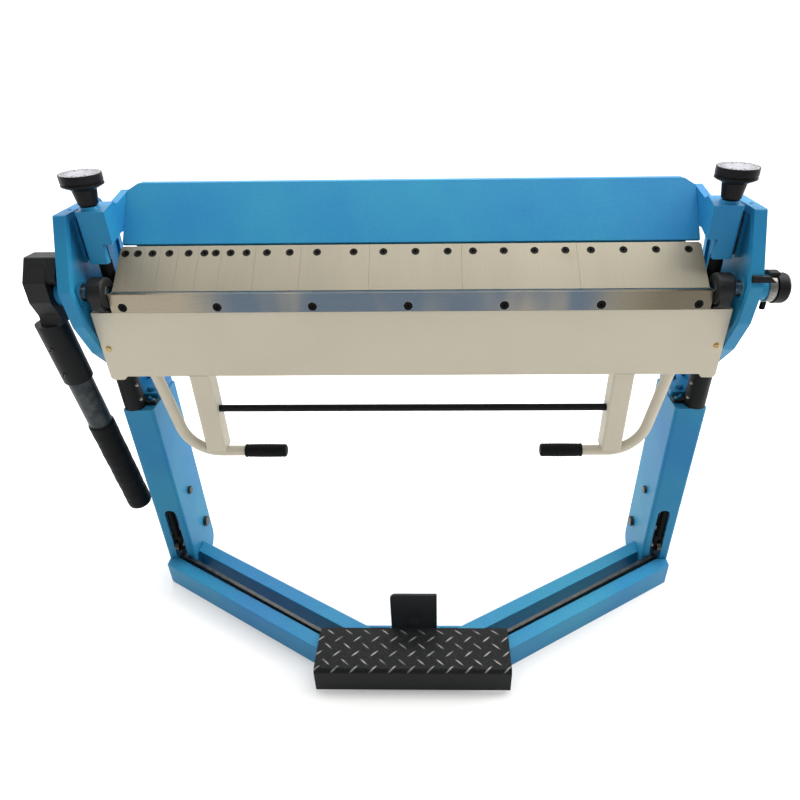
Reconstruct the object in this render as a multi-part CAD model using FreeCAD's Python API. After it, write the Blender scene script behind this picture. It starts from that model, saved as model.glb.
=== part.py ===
import FreeCAD, Part
import math
import os

# Box and pan brake with a foot pedal that clamps the beam, in millimetres.
# X runs to the right, Y to the back and Z up. Sizes are given from the middle
# of the bend line; the finished machine stands on Z = 0, and its origin lies
# on the floor midway between the four anchor holes of the legs.

V = FreeCAD.Vector
X_AXIS = V(1, 0, 0)
Y_AXIS = V(0, 1, 0)
Z_AXIS = V(0, 0, 1)

# Working sizes
FINGER_WIDTHS = (25, 30, 35, 40, 45, 50, 75, 100, 150, 200, 250, 270)
BEND_HEIGHT = 900.0
BEAM_LIFT = 42.0

# Clearances
SHEET_GAP = 0.3
RUNNING_FIT = 0.05
SEAT_GAP = 0.3
FREE_GAP = 1.0

# Fingers
FINGER_SLOPE = math.atan2(70.9, 93.5)
FINGER_FACE = 117.3
FINGER_THICK = 20.0
FINGER_HOLE_AT = 97.4
FINGER_TOP_CHAMFER = 7.0
FINGER_SIDE_GAP = 0.4
SCREW_HEAD_R = 6.5
SCREW_SHANK_R = 4.0
SCREW_SINK = 9.0
SCREW_HEAD_H = 7.0
SCREW_REACH = 36.0
COUNTERBORE_R = 7.5

# Clamping beam
SEAT_BAR_START = 70.0
SEAT_BAR_END = 122.0
SEAT_BAR_THICK = 24.0
BEAM_FRONT_TOP = (191.0, 184.0)
BEAM_BACK = 205.0
BEAM_DEPTH_BELOW = 49.0
BEAM_WALL = 8.0
BEAM_FACE_SHORTER = 1.0
BEAM_CORNER_CUT = 25.0
BEAM_CORNER_DROP = 18.0
BEAM_BOX_SHORTER = 30.0

# Bending bar and apron
BAR_OVERHANG = 5.0
BAR_THICK = 11.9
BAR_HEIGHT = 42.7
BAR_HOLE_DROP = 30.5
BAR_HOLE_PITCH = 204.7
BAR_HOLE_COUNT = 7
BAR_HOLE_R = 10.0
BAR_HOLE_DEPTH = 6.5
BAR_SCREW_R = 5.0
BAR_SCREW_HEAD_R = 8.5
SEAT_RAIL_TOP = -18.0
SEAT_RAIL_DEPTH = 24.0
PANEL_FRONT = -6.0
PANEL_TOP = -45.5
PANEL_BOTTOM = -204.0
PANEL_WALL = 8.0
PANEL_RETURN = 36.0
PANEL_SIDE_GAP = 1.5
PANEL_LUG_WIDTH = 36.0
PANEL_LUG_DROP = 9.0
RETURN_SHORTER = 60.0

# Bed beam and ties
BED_THICK = 15.0
BED_BACK = 158.0
BED_OVERHANG = 3.0
BED_BOX_SHORTER = 5.0
BED_BOX_FRONT = 42.0
BED_BOX_BACK = 150.0
BED_BOX_LOW = -180.0
BED_BOX_WALL = 10.0
BRACKET_FRONT = 88.0
BRACKET_BACK = 148.0
BRACKET_LOW = -140.0
BRACKET_HIGH = -30.0
BRACKET_WALL = 8.0
TIE_FRONT = 170.0
TIE_DEEP = 28.0
TIE_LOW = -118.0
TIE_HIGH = -22.0
TIE_WALL = 7.0

# Hinges
HINGE_GAP = 1.0
HINGE_WIDTH = 35.0
HINGE_R = 33.0
HINGE_ROUND = 6.0
SHAFT_R = 15.0
BUSH_WALL = 3.0
FRAME_GAP = 17.0
FRAME_THICK = 26.0
FRAME_WEB_SINK = 7.0
FRAME_RIM = 15.0
FRAME_TOP = 160.0
FRAME_NOSE_Y = -50.0
FRAME_BACK = 214.0
FRAME_LOW = -215.0
FRAME_FOOT_Y = 86.0
FRAME_FOOT_HIGH = 16.0
PAD_MARGIN = 4.0
LIFTING_HOLE_R = 4.0
LIFTING_HOLE_Y = 61.0
BOSS_R = 26.0
BOSS_LENGTH = 26.0

# End blocks, rods and knobs
GUIDE_THICK = 15.7
GUIDE_FRONT = 52.0
GUIDE_BACK = 103.0
GUIDE_LOW = 54.0
GUIDE_HIGH = 146.0
GUIDE_PAD = 4.0
BLOCK_WIDTH = 62.0
BLOCK_FRONT = 22.0
BLOCK_WALL = 14.0
BLOCK_SIDE = 8.0
BLOCK_EDGE_R = 7.0
TOE_SETBACK = 2.0
TOE_R = 6.0
CHEEK_THICK = 17.0
CHEEK_KNEE = 105.0
CHEEK_BACK = 196.0
CHEEK_TOP = 170.0
CHEEK_LAP = 12.0
BLOCK_TOP = 165.0
BLOCK_BOTTOM = 97.0
BLOCK_TOE = 55.0
BLOCK_BACK = 107.0
ROD_INSET = 21.0
ROD_Y = 49.0
SCREW_ROD_R = 12.0
ROD_BOSS_WALL = 8.0
ROD_COLLAR_R = 21.0
ROD_COLLAR_HIGH = 6.0
ROD_SHANK_R = 14.0
CROSSBAR_HIGH = 24.0
CROSSBAR_MARGIN = 2.0
PULL_OUTWARD = 4.0
LOWER_ROD_R = 10.0
CROSSHEAD_HIGH = 40.0
HOUSING_BEHIND = 6.0
HOUSING_R = 25.0
HOUSING_WALL = 2.5
HOUSING_FOOT = 9.0
HOUSING_TOP = -222.0
ROD_PIN_R = 6.0
FORK_WIDTH = 24.0
KNOB_R = 41.0
KNOB_TOP = 236.0
KNOB_SKIRT = 29.0
KNOB_NECK_R = 24.0
KNOB_NECK_LOW_R = 19.5
KNOB_DISC_R = 39.0
KNOB_DISC_SINK = 1.0
KNOB_BORE_STOP = 11.0

# Legs and base
LEG_TOP = -323.0
LEG_WIDTH = 76.0
LEG_INSET = 5.0
LEG_FRONT = 33.0
LEG_BACK = 180.0
LEG_WALL = 5.0
LEG_PLATE = 8.0
LEG_BEND_R = 9.0
LEG_HEEL_R = 40.0
SLOT_HIGH = 250.0
SLOT_LOW = 58.0
SLOT_WIDTH = 32.0
SLOT_INSET = 19.0
TUBE_HIGH = 70.0
TUBE_WIDE = 36.0
TUBE_WALL = 4.0
TUBE_GAP = 46.0
BASE_ANGLE = math.radians(30)
BASE_START = V(706, 6, 0)
CROSS_BACK = -262.0
CROSS_HALF = 225.0
ANCHOR_FRONT = 65.0
ANCHOR_BACK = 125.0
ANCHOR_R = 7.0

# Foot pedal and its latch
PIVOT_Y = 142.0
PIVOT_HEIGHT = 112.0
PIVOT_R = 8.0
LEVER_THICK = 10.0
ARM_THICK = 8.0
ARM_GAP = 3.5
ARM_TOP_HEIGHT = 82.0
ARM_HIGH = 20.0
ARM_LEVEL = 90.0
ARM_END_Y = -250.0
PEDAL_HEIGHT = 80.0
PEDAL_HALF = 235.0
PEDAL_SHEET = 4.0
PEDAL_FRONT = -332.0
PEDAL_FOLD = -233.0
PEDAL_BACK = -207.0
PEDAL_BACK_DROP = 5.0
PEDAL_LIP_HEIGHT = 7.0
LATCH_HALF = 58.0
LATCH_FRONT = -194.0
LATCH_THICK = 6.0
LATCH_HEIGHT = 180.0
LATCH_PIN_Y = -190.0
LATCH_PIN_HEIGHT = 38.0
LATCH_PIN_R = 5.0
LATCH_HUB_R = 9.0
LATCH_NOSE_REACH = 9.0
LATCH_NOSE_HALF = 12.0
LATCH_BRACKET_BEHIND = 16.0
LATCH_BRACKET_WALL = 6.0
LATCH_BRACKET_LIFT = 6.0
LATCH_BRACKET_HALF = 190.0
LATCH_EAR = 6.0
LATCH_EAR_R = 10.0
SPRING_ANCHOR_Y = 100.0
SPRING_ANCHOR_HEIGHT = 268.0
SPRING_WIRE_R = 2.0
SPRING_COIL_R = 9.0
SPRING_TURNS = 12
STUD_R = 5.0

# Handles, side lever and angle stop
HANDLE_TUBE_R = 13.0
HANDLE_BEND_R = 88.0
HANDLE_X = 593.0
HANDLE_CORNER = (554.0, -428.0)
HANDLE_Y = 10.0
GRIP_IN = 315.0
GRIP_OUT = 418.0
STRUT_IN = 463.0
STRUT_WIDE = 48.0
STRUT_WALL = 5.0
TIE_ROD_R = 8.5
TIE_ROD_Z = -305.0
LEVER_OUT = 791.0
LEVER_X = 780.0
LEVER_LEAN = 0.173
LEVER_NECK_Y = -15.0
LEVER_NECK_Z = -48.0
LEVER_NECK_LOW = -62.0
SOCKET_R = 32.5
SOCKET_LOW = -216.0
SOCKET_DEPTH = 90.0
PIPE_R = 27.5
PIPE_WALL = 4.0
PIPE_LOW = -655.0
LEVER_GRIP_R = 31.0
LEVER_GRIP_TOP = -358.0
LEVER_GRIP_LOW = -668.0
RING_R = 29.0
RING_LENGTH = 19.0
LOCK_SCREW_R = 6.0
LOCK_SCREW_LOW = -48.0
POINTER_THICK = 5.0
POINTER_LOW = 30.0
POINTER_HIGH = 43.0
POINTER_FRONT = -49.0
POINTER_SLANT = 15.0
POINTER_GAP = 2.0
CAP_R = 32.0
CAP_LENGTH = 26.0
HOOD_R = 38.0
HOOD_GAP = 2.0
HOOD_END = 4.0
HOOD_FRONT = -10.0
HOOD_LOW = -20.0

# Places worked out from the sizes above
HALF = sum(FINGER_WIDTHS) / 2
BAR_HALF = HALF + BAR_OVERHANG
HINGE_IN = BAR_HALF + HINGE_GAP
HINGE_OUT = HINGE_IN + HINGE_WIDTH
FRAME_IN = HINGE_OUT + FRAME_GAP
FRAME_OUT = FRAME_IN + FRAME_THICK
BOSS_END = FRAME_OUT + BOSS_LENGTH
BLOCK_OUT = FRAME_IN - GUIDE_THICK - SEAT_GAP
BLOCK_IN = BLOCK_OUT - BLOCK_WIDTH
ROD_X = HALF + ROD_INSET
LEG_OUT = FRAME_OUT - LEG_INSET
LEG_IN = LEG_OUT - LEG_WIDTH
LEG_X = (LEG_IN + LEG_OUT) / 2
PULL_X = LEG_X + PULL_OUTWARD
HOUSING_X = LEG_OUT - HOUSING_R
HOUSING_Y = ROD_Y + HOUSING_BEHIND
CROSSHEAD_R = HOUSING_R - HOUSING_WALL
BEAM_FACE_HALF = HALF - BEAM_FACE_SHORTER
FLOOR = -BEND_HEIGHT
TUBE_TOP = FLOOR + TUBE_HIGH
SLOT_TOP = FLOOR + SLOT_HIGH
SLOT_BOTTOM = FLOOR + SLOT_LOW
TREADLE_PIVOT = (PIVOT_Y, FLOOR + PIVOT_HEIGHT)
ARM_TOP_OUT = FLOOR + ARM_TOP_HEIGHT
PEDAL_TOP = FLOOR + PEDAL_HEIGHT
PEDAL_LIP_BOTTOM = FLOOR + PEDAL_LIP_HEIGHT
LATCH_TOP = FLOOR + LATCH_HEIGHT
LATCH_PIN = (LATCH_PIN_Y, FLOOR + LATCH_PIN_HEIGHT)
SPRING_ANCHOR = (SPRING_ANCHOR_Y, FLOOR + SPRING_ANCHOR_HEIGHT)
ANCHOR_Y = (ANCHOR_FRONT + ANCHOR_BACK) / 2
SLOPE_DIR = V(0, math.cos(FINGER_SLOPE), math.sin(FINGER_SLOPE))
SLOPE_DOWN = V(0, math.sin(FINGER_SLOPE), -math.cos(FINGER_SLOPE))
MACHINE_SHIFT = V(0, -ANCHOR_Y, BEND_HEIGHT)


def box(x0, x1, y0, y1, z0, z1):
    """Box between two corners."""
    return Part.makeBox(x1 - x0, y1 - y0, z1 - z0, V(x0, y0, z0))


def rod(radius, start, end):
    """Round bar between two points."""
    axis = end - start
    return Part.makeCylinder(radius, axis.Length, start, axis)


def lift(plane, a, b):
    """Point of a flat outline in space."""
    if plane == "YZ":
        return V(0, a, b)
    if plane == "XZ":
        return V(a, 0, b)
    return V(a, b, 0)


def normal(plane):
    """Direction in which an outline is drawn out."""
    return {"YZ": X_AXIS, "XZ": Y_AXIS, "XY": Z_AXIS}[plane]


def outline(corners, plane):
    """Closed wire through corners (a, b) or (a, b, radius) with rounded corners."""
    points = [lift(plane, c[0], c[1]) for c in corners]
    radii = [c[2] if len(c) > 2 else 0 for c in corners]
    edges = []
    joints = []
    for i, point in enumerate(points):
        before = (points[i - 1] - point).normalize()
        after = (points[(i + 1) % len(points)] - point).normalize()
        if radii[i] <= 0:
            joints.append((point, point))
            continue
        half = before.getAngle(after) / 2
        reach = radii[i] / math.tan(half)
        inward = (before + after).normalize()
        middle = point + inward * (radii[i] / math.sin(half) - radii[i])
        start = point + before * reach
        end = point + after * reach
        edges.append(Part.Arc(start, middle, end).toShape())
        joints.append((start, end))
    for i, (_, end) in enumerate(joints):
        start = joints[(i + 1) % len(joints)][0]
        if (start - end).Length > 1e-6:
            edges.append(Part.LineSegment(end, start).toShape())
    return Part.Wire(Part.__sortEdges__(edges))


def plate(corners, plane, start, end):
    """Outline drawn out from start to end along the plane's normal."""
    face = Part.Face(outline(corners, plane))
    along = normal(plane)
    face.translate(along * start)
    return face.extrude(along * (end - start))


def turned(profile, centre, axis):
    """Ring or disc turned from (radius, height) corners about an axis."""
    side = Y_AXIS if abs(axis.dot(Y_AXIS)) < 0.5 else Z_AXIS
    points = [centre + side * c[0] + axis * c[1] for c in profile]
    face = Part.Face(Part.makePolygon(points + points[:1]))
    return face.revolve(centre, axis, 360)


def mirrored(shape):
    """Left-hand copy of a right-hand piece."""
    return shape.mirror(V(0, 0, 0), X_AXIS)


def pair(shape):
    """Left-hand and right-hand pieces as two solids."""
    return Part.makeCompound([mirrored(shape), shape])


def on_slope(along, below):
    """Point on the fingers' slope, below the face by the given depth."""
    return SLOPE_DIR * along + SLOPE_DOWN * below


def slope_corners(start, end, upper, lower):
    """Corners of a bar that lies along the fingers' slope."""
    points = [on_slope(start, upper), on_slope(end, upper), on_slope(end, lower), on_slope(start, lower)]
    return [(p.y, p.z) for p in points]


def finger_spans():
    """Left edge, width and screw places of each finger, from left to right."""
    left = -HALF
    spans = []
    for width in FINGER_WIDTHS:
        if width <= 45:
            places = [width / 2]
        elif width <= 150:
            inset = {50: 12.5, 75: 20.0, 100: 25.0, 150: 35.0}.get(width, width / 4)
            places = [inset, width - inset]
        elif width <= 200:
            places = [30.0, width / 2, width - 30.0]
        else:
            inset = 25.0 if width <= 250 else 30.0
            step = (width - 2 * inset) / 3
            places = [inset + step * i for i in range(4)]
        spans.append((left, width, [left + p for p in places]))
        left += width
    return spans


def finger(left, width, screws, outer_side):
    """One finger: sloping blade with a flat foot and sunk screw holes."""
    top = on_slope(FINGER_FACE, 0)
    back = on_slope(FINGER_FACE, FINGER_THICK)
    heel_along = FINGER_THICK * math.cos(FINGER_SLOPE) / math.sin(FINGER_SLOPE)
    heel = on_slope(heel_along, FINGER_THICK)
    corners = [(0, 0.0, 0.6), (top.y, top.z, 2.0), (back.y, back.z), (heel.y, heel.z)]
    half_gap = FINGER_SIDE_GAP / 2
    body = plate(corners, "YZ", left + half_gap, left + width - half_gap)
    for x in screws:
        face_point = on_slope(FINGER_HOLE_AT, 0) + V(x, 0, 0)
        sink = rod(COUNTERBORE_R, face_point - SLOPE_DOWN, face_point + SLOPE_DOWN * SCREW_SINK)
        through = rod(SCREW_SHANK_R + SEAT_GAP, face_point, face_point + SLOPE_DOWN * (FINGER_THICK + 1))
        body = body.cut(sink).cut(through)
    if outer_side:
        edge_x = left if outer_side < 0 else left + width
        corner = on_slope(FINGER_FACE, 0) + V(edge_x, 0, 0)
        cut = FINGER_TOP_CHAMFER
        inward = V(-outer_side, 0, 0)
        wedge = Part.Face(Part.makePolygon([
            corner - SLOPE_DOWN + V(outer_side, 0, 0),
            corner - SLOPE_DOWN + inward * cut,
            corner - SLOPE_DOWN + V(outer_side, 0, 0) - SLOPE_DIR * (cut + 1),
            corner - SLOPE_DOWN + V(outer_side, 0, 0)]))
        body = body.cut(wedge.extrude(SLOPE_DOWN * (FINGER_THICK + 2)))
    return body


def finger_screws():
    """Socket screws that hold the fingers, one solid each."""
    screws = []
    for _, _, places in finger_spans():
        for x in places:
            face_point = on_slope(FINGER_HOLE_AT, 0) + V(x, 0, 0)
            seat = face_point + SLOPE_DOWN * SCREW_SINK
            head = rod(SCREW_HEAD_R, seat - SLOPE_DOWN * SCREW_HEAD_H, seat)
            shank = rod(SCREW_SHANK_R, seat, face_point + SLOPE_DOWN * SCREW_REACH)
            screws.append(head.fuse(shank).removeSplitter())
    return Part.makeCompound(screws)


def finger_seat_bar():
    """Flat bar behind the fingers that takes their screws."""
    lower = FINGER_THICK + SEAT_BAR_THICK
    bar = plate(slope_corners(SEAT_BAR_START, SEAT_BAR_END, FINGER_THICK, lower), "YZ", -HALF, HALF)
    for _, _, places in finger_spans():
        for x in places:
            face_point = on_slope(FINGER_HOLE_AT, 0) + V(x, 0, 0)
            bar = bar.cut(rod(SCREW_SHANK_R, face_point, face_point + SLOPE_DOWN * SCREW_REACH))
    return bar


def beam_outline():
    """Corners of the clamping beam's box section."""
    low_front = on_slope(SEAT_BAR_END, 0)
    low_back = on_slope(SEAT_BAR_END, BEAM_DEPTH_BELOW)
    top_y, top_z = BEAM_FRONT_TOP
    return [(low_front.y, low_front.z), (top_y, top_z), (BEAM_BACK, top_z),
            (BEAM_BACK, low_back.z), (low_back.y, low_back.z)]


def clamp_beam_box():
    """Closed plate section with a sloping front plate that runs past its ends."""
    corners = beam_outline()
    half = HALF - BEAM_BOX_SHORTER
    outer = plate(corners, "YZ", -half, half)
    wire = outline(corners, "YZ")
    inner = Part.Face(wire.makeOffset2D(-BEAM_WALL))
    inner.translate(X_AXIS * (BEAM_WALL - half))
    section = outer.cut(inner.extrude(X_AXIS * (2 * half - 2 * BEAM_WALL)))
    low = V(0, corners[0][0], corners[0][1])
    top = V(0, corners[1][0], corners[1][1])
    up = (top - low).normalize()
    into = V(0, up.z, -up.y)
    length = (top - low).Length
    side = X_AXIS * BEAM_FACE_HALF
    short = X_AXIS * (BEAM_FACE_HALF - BEAM_CORNER_CUT)
    straight = up * (length - BEAM_CORNER_DROP)
    points = [low - side, low + side, low + side + straight, top + short, top - short, low - side + straight]
    front = Part.Face(Part.makePolygon(points + points[:1])).extrude(into * BEAM_WALL)
    return section.fuse(front).removeSplitter()


def end_block():
    """Right end block: open-bottomed casting with the rod boss and the cheek that holds the beam."""
    low = V(0, *beam_outline()[0])
    top = V(0, *beam_outline()[1])
    rise = (top.z - low.z) / (top.y - low.y)

    def behind_face(z):
        return low.y + (z - low.z) / rise + CHEEK_LAP

    side_in = BLOCK_OUT - BLOCK_SIDE
    front = box(BLOCK_IN, BLOCK_OUT, BLOCK_FRONT, BLOCK_FRONT + BLOCK_WALL, BLOCK_BOTTOM, BLOCK_TOP)
    roof = box(BLOCK_IN, BLOCK_OUT, BLOCK_FRONT, BLOCK_BACK, BLOCK_TOP - BLOCK_WALL, BLOCK_TOP)
    outer = plate([(BLOCK_FRONT, BLOCK_TOE, TOE_R), (BLOCK_FRONT, BLOCK_TOP), (BLOCK_BACK, BLOCK_TOP),
                   (BLOCK_BACK, BLOCK_BOTTOM, 10), (BLOCK_FRONT + 3 * BLOCK_WALL, BLOCK_TOE, TOE_R)],
                  "YZ", side_in, BLOCK_OUT)
    toe = box(HALF + TOE_SETBACK, BLOCK_OUT, BLOCK_FRONT, BLOCK_FRONT + BLOCK_WALL, BLOCK_TOE, BLOCK_BOTTOM)
    inner_line = [(BLOCK_IN, BLOCK_FRONT), (BEAM_FACE_HALF, CHEEK_KNEE), (BEAM_FACE_HALF, CHEEK_BACK)]
    outer_line = [(x + CHEEK_THICK, y) for x, y in reversed(inner_line)]
    cheek_plan = plate(inner_line + outer_line, "XY", BLOCK_BOTTOM, CHEEK_TOP)
    cheek_side = plate([(BLOCK_FRONT, BLOCK_BOTTOM), (BLOCK_FRONT, BLOCK_TOP), (BLOCK_BACK, BLOCK_TOP),
                        (BLOCK_BACK + 13, BLOCK_TOP - 8, 8), (behind_face(CHEEK_TOP), CHEEK_TOP),
                        (behind_face(BLOCK_BOTTOM), BLOCK_BOTTOM)], "YZ", BLOCK_IN, BLOCK_OUT)
    base = V(ROD_X, ROD_Y, BLOCK_BOTTOM)
    boss = rod(SCREW_ROD_R + ROD_BOSS_WALL, base, V(ROD_X, ROD_Y, BLOCK_TOP))
    block = front.multiFuse([roof, outer, toe, boss])
    plan = plate(inner_line + [(BLOCK_OUT, CHEEK_BACK), (BLOCK_OUT, BLOCK_FRONT, BLOCK_EDGE_R)],
                 "XY", BLOCK_TOE - 1, BLOCK_TOP + 1)
    collar = turned([(0, 0), (ROD_COLLAR_R, 0), (ROD_COLLAR_R - 2, ROD_COLLAR_HIGH), (0, ROD_COLLAR_HIGH)],
                    V(ROD_X, ROD_Y, BLOCK_TOP), Z_AXIS)
    block = block.common(plan).multiFuse([cheek_plan.common(cheek_side), collar])
    bore = rod(SCREW_ROD_R + RUNNING_FIT, base - Z_AXIS, V(ROD_X, ROD_Y, BLOCK_TOP + 10))
    return block.cut(bore).removeSplitter()


def pull_rod():
    """Right pull rod: adjusting screw and shank, crossbar, guided piston, lower rod and fork in one."""
    piston_low = LEG_TOP + 5
    bar_low = HOUSING_TOP + FREE_GAP
    bar_top = bar_low + CROSSBAR_HIGH
    fork_top = TREADLE_PIVOT[1] + 38
    fork_bottom = TREADLE_PIVOT[1] - 14
    screw_top = KNOB_TOP - KNOB_BORE_STOP - FREE_GAP
    screw = rod(SCREW_ROD_R, V(ROD_X, ROD_Y, bar_top - 5), V(ROD_X, ROD_Y, screw_top))
    shank = rod(ROD_SHANK_R, V(ROD_X, ROD_Y, bar_low), V(ROD_X, ROD_Y, BLOCK_TOE - FREE_GAP))
    deep = ROD_SHANK_R
    bar_in = ROD_X - deep - CROSSBAR_MARGIN
    bar_out = FRAME_IN - CROSSBAR_MARGIN
    crossbar = plate([(bar_in, ROD_Y - deep, 6), (bar_out, ROD_Y - deep, 6),
                      (bar_out, ROD_Y + deep, 6), (bar_in, ROD_Y + deep, 6)], "XY", bar_low, bar_top)
    piston = rod(CROSSHEAD_R - RUNNING_FIT, V(HOUSING_X, HOUSING_Y, piston_low),
                 V(HOUSING_X, HOUSING_Y, piston_low + CROSSHEAD_HIGH))
    lower = rod(LOWER_ROD_R, V(PULL_X, ROD_Y, fork_top - 5), V(PULL_X, ROD_Y, bar_low + 5))
    half = FORK_WIDTH / 2
    fork_deep = LOWER_ROD_R + 0.5
    fork = box(PULL_X - half, PULL_X + half, ROD_Y - fork_deep, ROD_Y + fork_deep, fork_bottom, fork_top)
    mouth = LEVER_THICK / 2 + SEAT_GAP
    opening = box(PULL_X - mouth, PULL_X + mouth, ROD_Y - 2 * fork_deep, ROD_Y + 2 * fork_deep,
                  fork_bottom - 1, fork_top - 14)
    eye = rod(ROD_PIN_R, V(PULL_X - FORK_WIDTH, ROD_Y, TREADLE_PIVOT[1]),
              V(PULL_X + FORK_WIDTH, ROD_Y, TREADLE_PIVOT[1]))
    body = screw.multiFuse([shank, crossbar, piston, lower, fork])
    return body.cut(opening).cut(eye).removeSplitter()


def rod_pin():
    """Right fork pin with a flat head."""
    half = FORK_WIDTH / 2
    at = V(PULL_X, ROD_Y, TREADLE_PIVOT[1])
    shank = rod(ROD_PIN_R, at - X_AXIS * half, at + X_AXIS * half)
    head = rod(ROD_PIN_R + 2, at - X_AXIS * (half + 2), at - X_AXIS * half)
    return shank.fuse(head).removeSplitter()


def rod_guide():
    """Right guide housing: round cylinder on a bolted foot."""
    centre = V(HOUSING_X, HOUSING_Y, LEG_TOP)
    foot_front = HOUSING_Y + 4
    foot_back = HOUSING_Y + HOUSING_R + 2
    foot = plate([(LEG_IN + 2, foot_front, 4), (LEG_IN + 2, foot_back, 4),
                  (LEG_OUT - 2, foot_back, 4), (LEG_OUT - 2, foot_front, 4)],
                 "XY", LEG_TOP, LEG_TOP + HOUSING_FOOT)
    wall = rod(HOUSING_R, centre, V(HOUSING_X, HOUSING_Y, HOUSING_TOP))
    bore = rod(CROSSHEAD_R, centre - Z_AXIS, V(HOUSING_X, HOUSING_Y, HOUSING_TOP + 1))
    return wall.fuse(foot).cut(bore).removeSplitter()


def knob(side):
    """Adjusting knob: wide grooved head with a sunk top over a tapered neck, bored for the screw."""
    seat = BLOCK_TOP + ROD_COLLAR_HIGH + SEAT_GAP
    low = KNOB_TOP - KNOB_SKIRT
    bore = SCREW_ROD_R + RUNNING_FIT
    disc = KNOB_TOP - KNOB_DISC_SINK
    stop = KNOB_TOP - KNOB_BORE_STOP
    profile = [(bore, seat), (KNOB_NECK_LOW_R - 4, seat), (KNOB_NECK_LOW_R, seat + 4), (KNOB_NECK_R, low - 3),
               (KNOB_NECK_R + 4, low), (KNOB_R - 5, low + 3.5), (KNOB_R, low + 6.5), (KNOB_R, low + 10),
               (KNOB_R - 2.5, low + 11), (KNOB_R - 2.5, low + 12.5), (KNOB_R, low + 14),
               (KNOB_R, KNOB_TOP - 1), (KNOB_R - 1, KNOB_TOP), (KNOB_DISC_R, KNOB_TOP), (KNOB_DISC_R, disc),
               (0, disc), (0, stop), (bore, stop)]
    return turned(profile, V(side * ROD_X, ROD_Y, 0), Z_AXIS)


def side_frame():
    """Right side frame: cast cheek with a sunk web, a shaft boss and a foot."""
    front = FRAME_FOOT_Y
    corners = [(16, FRAME_TOP, 6), (FRAME_NOSE_Y, 20, 12), (-40, -64, 24), (-3, -143, 20),
               (50, FRAME_LOW + 10, 20), (front, FRAME_LOW, 10), (front, LEG_TOP), (LEG_BACK, LEG_TOP),
               (LEG_BACK, FRAME_LOW, 30), (FRAME_BACK, 40, 30), (FRAME_BACK, 95, 20), (168, FRAME_TOP, 14)]
    solid = plate(corners, "YZ", FRAME_IN, FRAME_OUT)
    rim = outline(corners, "YZ").makeOffset2D(-FRAME_RIM)
    pocket = Part.Face(rim)
    for x, out in ((FRAME_IN, 1), (FRAME_OUT, -1)):
        sunk = pocket.copy()
        sunk.translate(X_AXIS * x)
        solid = solid.cut(sunk.extrude(X_AXIS * (out * FRAME_WEB_SINK)))
    boss = rod(BOSS_R, V(FRAME_IN, 0, 0), V(BOSS_END, 0, 0))
    pad = box(FRAME_IN, FRAME_OUT, BRACKET_FRONT - PAD_MARGIN, BRACKET_BACK + PAD_MARGIN,
              BRACKET_LOW - PAD_MARGIN, BRACKET_HIGH + PAD_MARGIN)
    foot = plate([(LEG_IN + 3, front + 2, 6), (FRAME_OUT, front + 2),
                  (FRAME_OUT, LEG_BACK), (LEG_IN + 3, LEG_BACK, 6)], "XY", LEG_TOP, LEG_TOP + FRAME_FOOT_HIGH)
    tie_pad = box(FRAME_IN, FRAME_OUT, TIE_FRONT - 2, TIE_FRONT + TIE_DEEP, TIE_LOW - 2, TIE_HIGH + 2)
    tie_pad = tie_pad.common(plate(corners, "YZ", FRAME_IN, FRAME_OUT))
    guide_pad = box(FRAME_IN, FRAME_IN + FRAME_WEB_SINK, GUIDE_FRONT - GUIDE_PAD, GUIDE_BACK + GUIDE_PAD,
                    GUIDE_LOW - GUIDE_PAD, GUIDE_HIGH + GUIDE_PAD)
    solid = solid.multiFuse([boss, pad, foot, tie_pad, guide_pad])
    lifting_hole = rod(LIFTING_HOLE_R, V((FRAME_IN + FRAME_OUT) / 2, LIFTING_HOLE_Y, FRAME_TOP - FRAME_RIM),
                       V((FRAME_IN + FRAME_OUT) / 2, LIFTING_HOLE_Y, FRAME_TOP + 1))
    solid = solid.cut(lifting_hole)
    bore = rod(SHAFT_R + BUSH_WALL, V(FRAME_IN - 1, 0, 0), V(BOSS_END + 1, 0, 0))
    return solid.cut(bore).removeSplitter()


def shaft_bush():
    """Right bronze bush pressed into the side frame's boss."""
    outer = rod(SHAFT_R + BUSH_WALL, V(FRAME_IN, 0, 0), V(BOSS_END, 0, 0))
    inner = rod(SHAFT_R + RUNNING_FIT, V(FRAME_IN - 1, 0, 0), V(BOSS_END + 1, 0, 0))
    return outer.cut(inner)


def beam_guide():
    """Right guide strip between the side frame and the end block."""
    return box(FRAME_IN - GUIDE_THICK, FRAME_IN, GUIDE_FRONT, GUIDE_BACK, GUIDE_LOW, GUIDE_HIGH)


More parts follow.
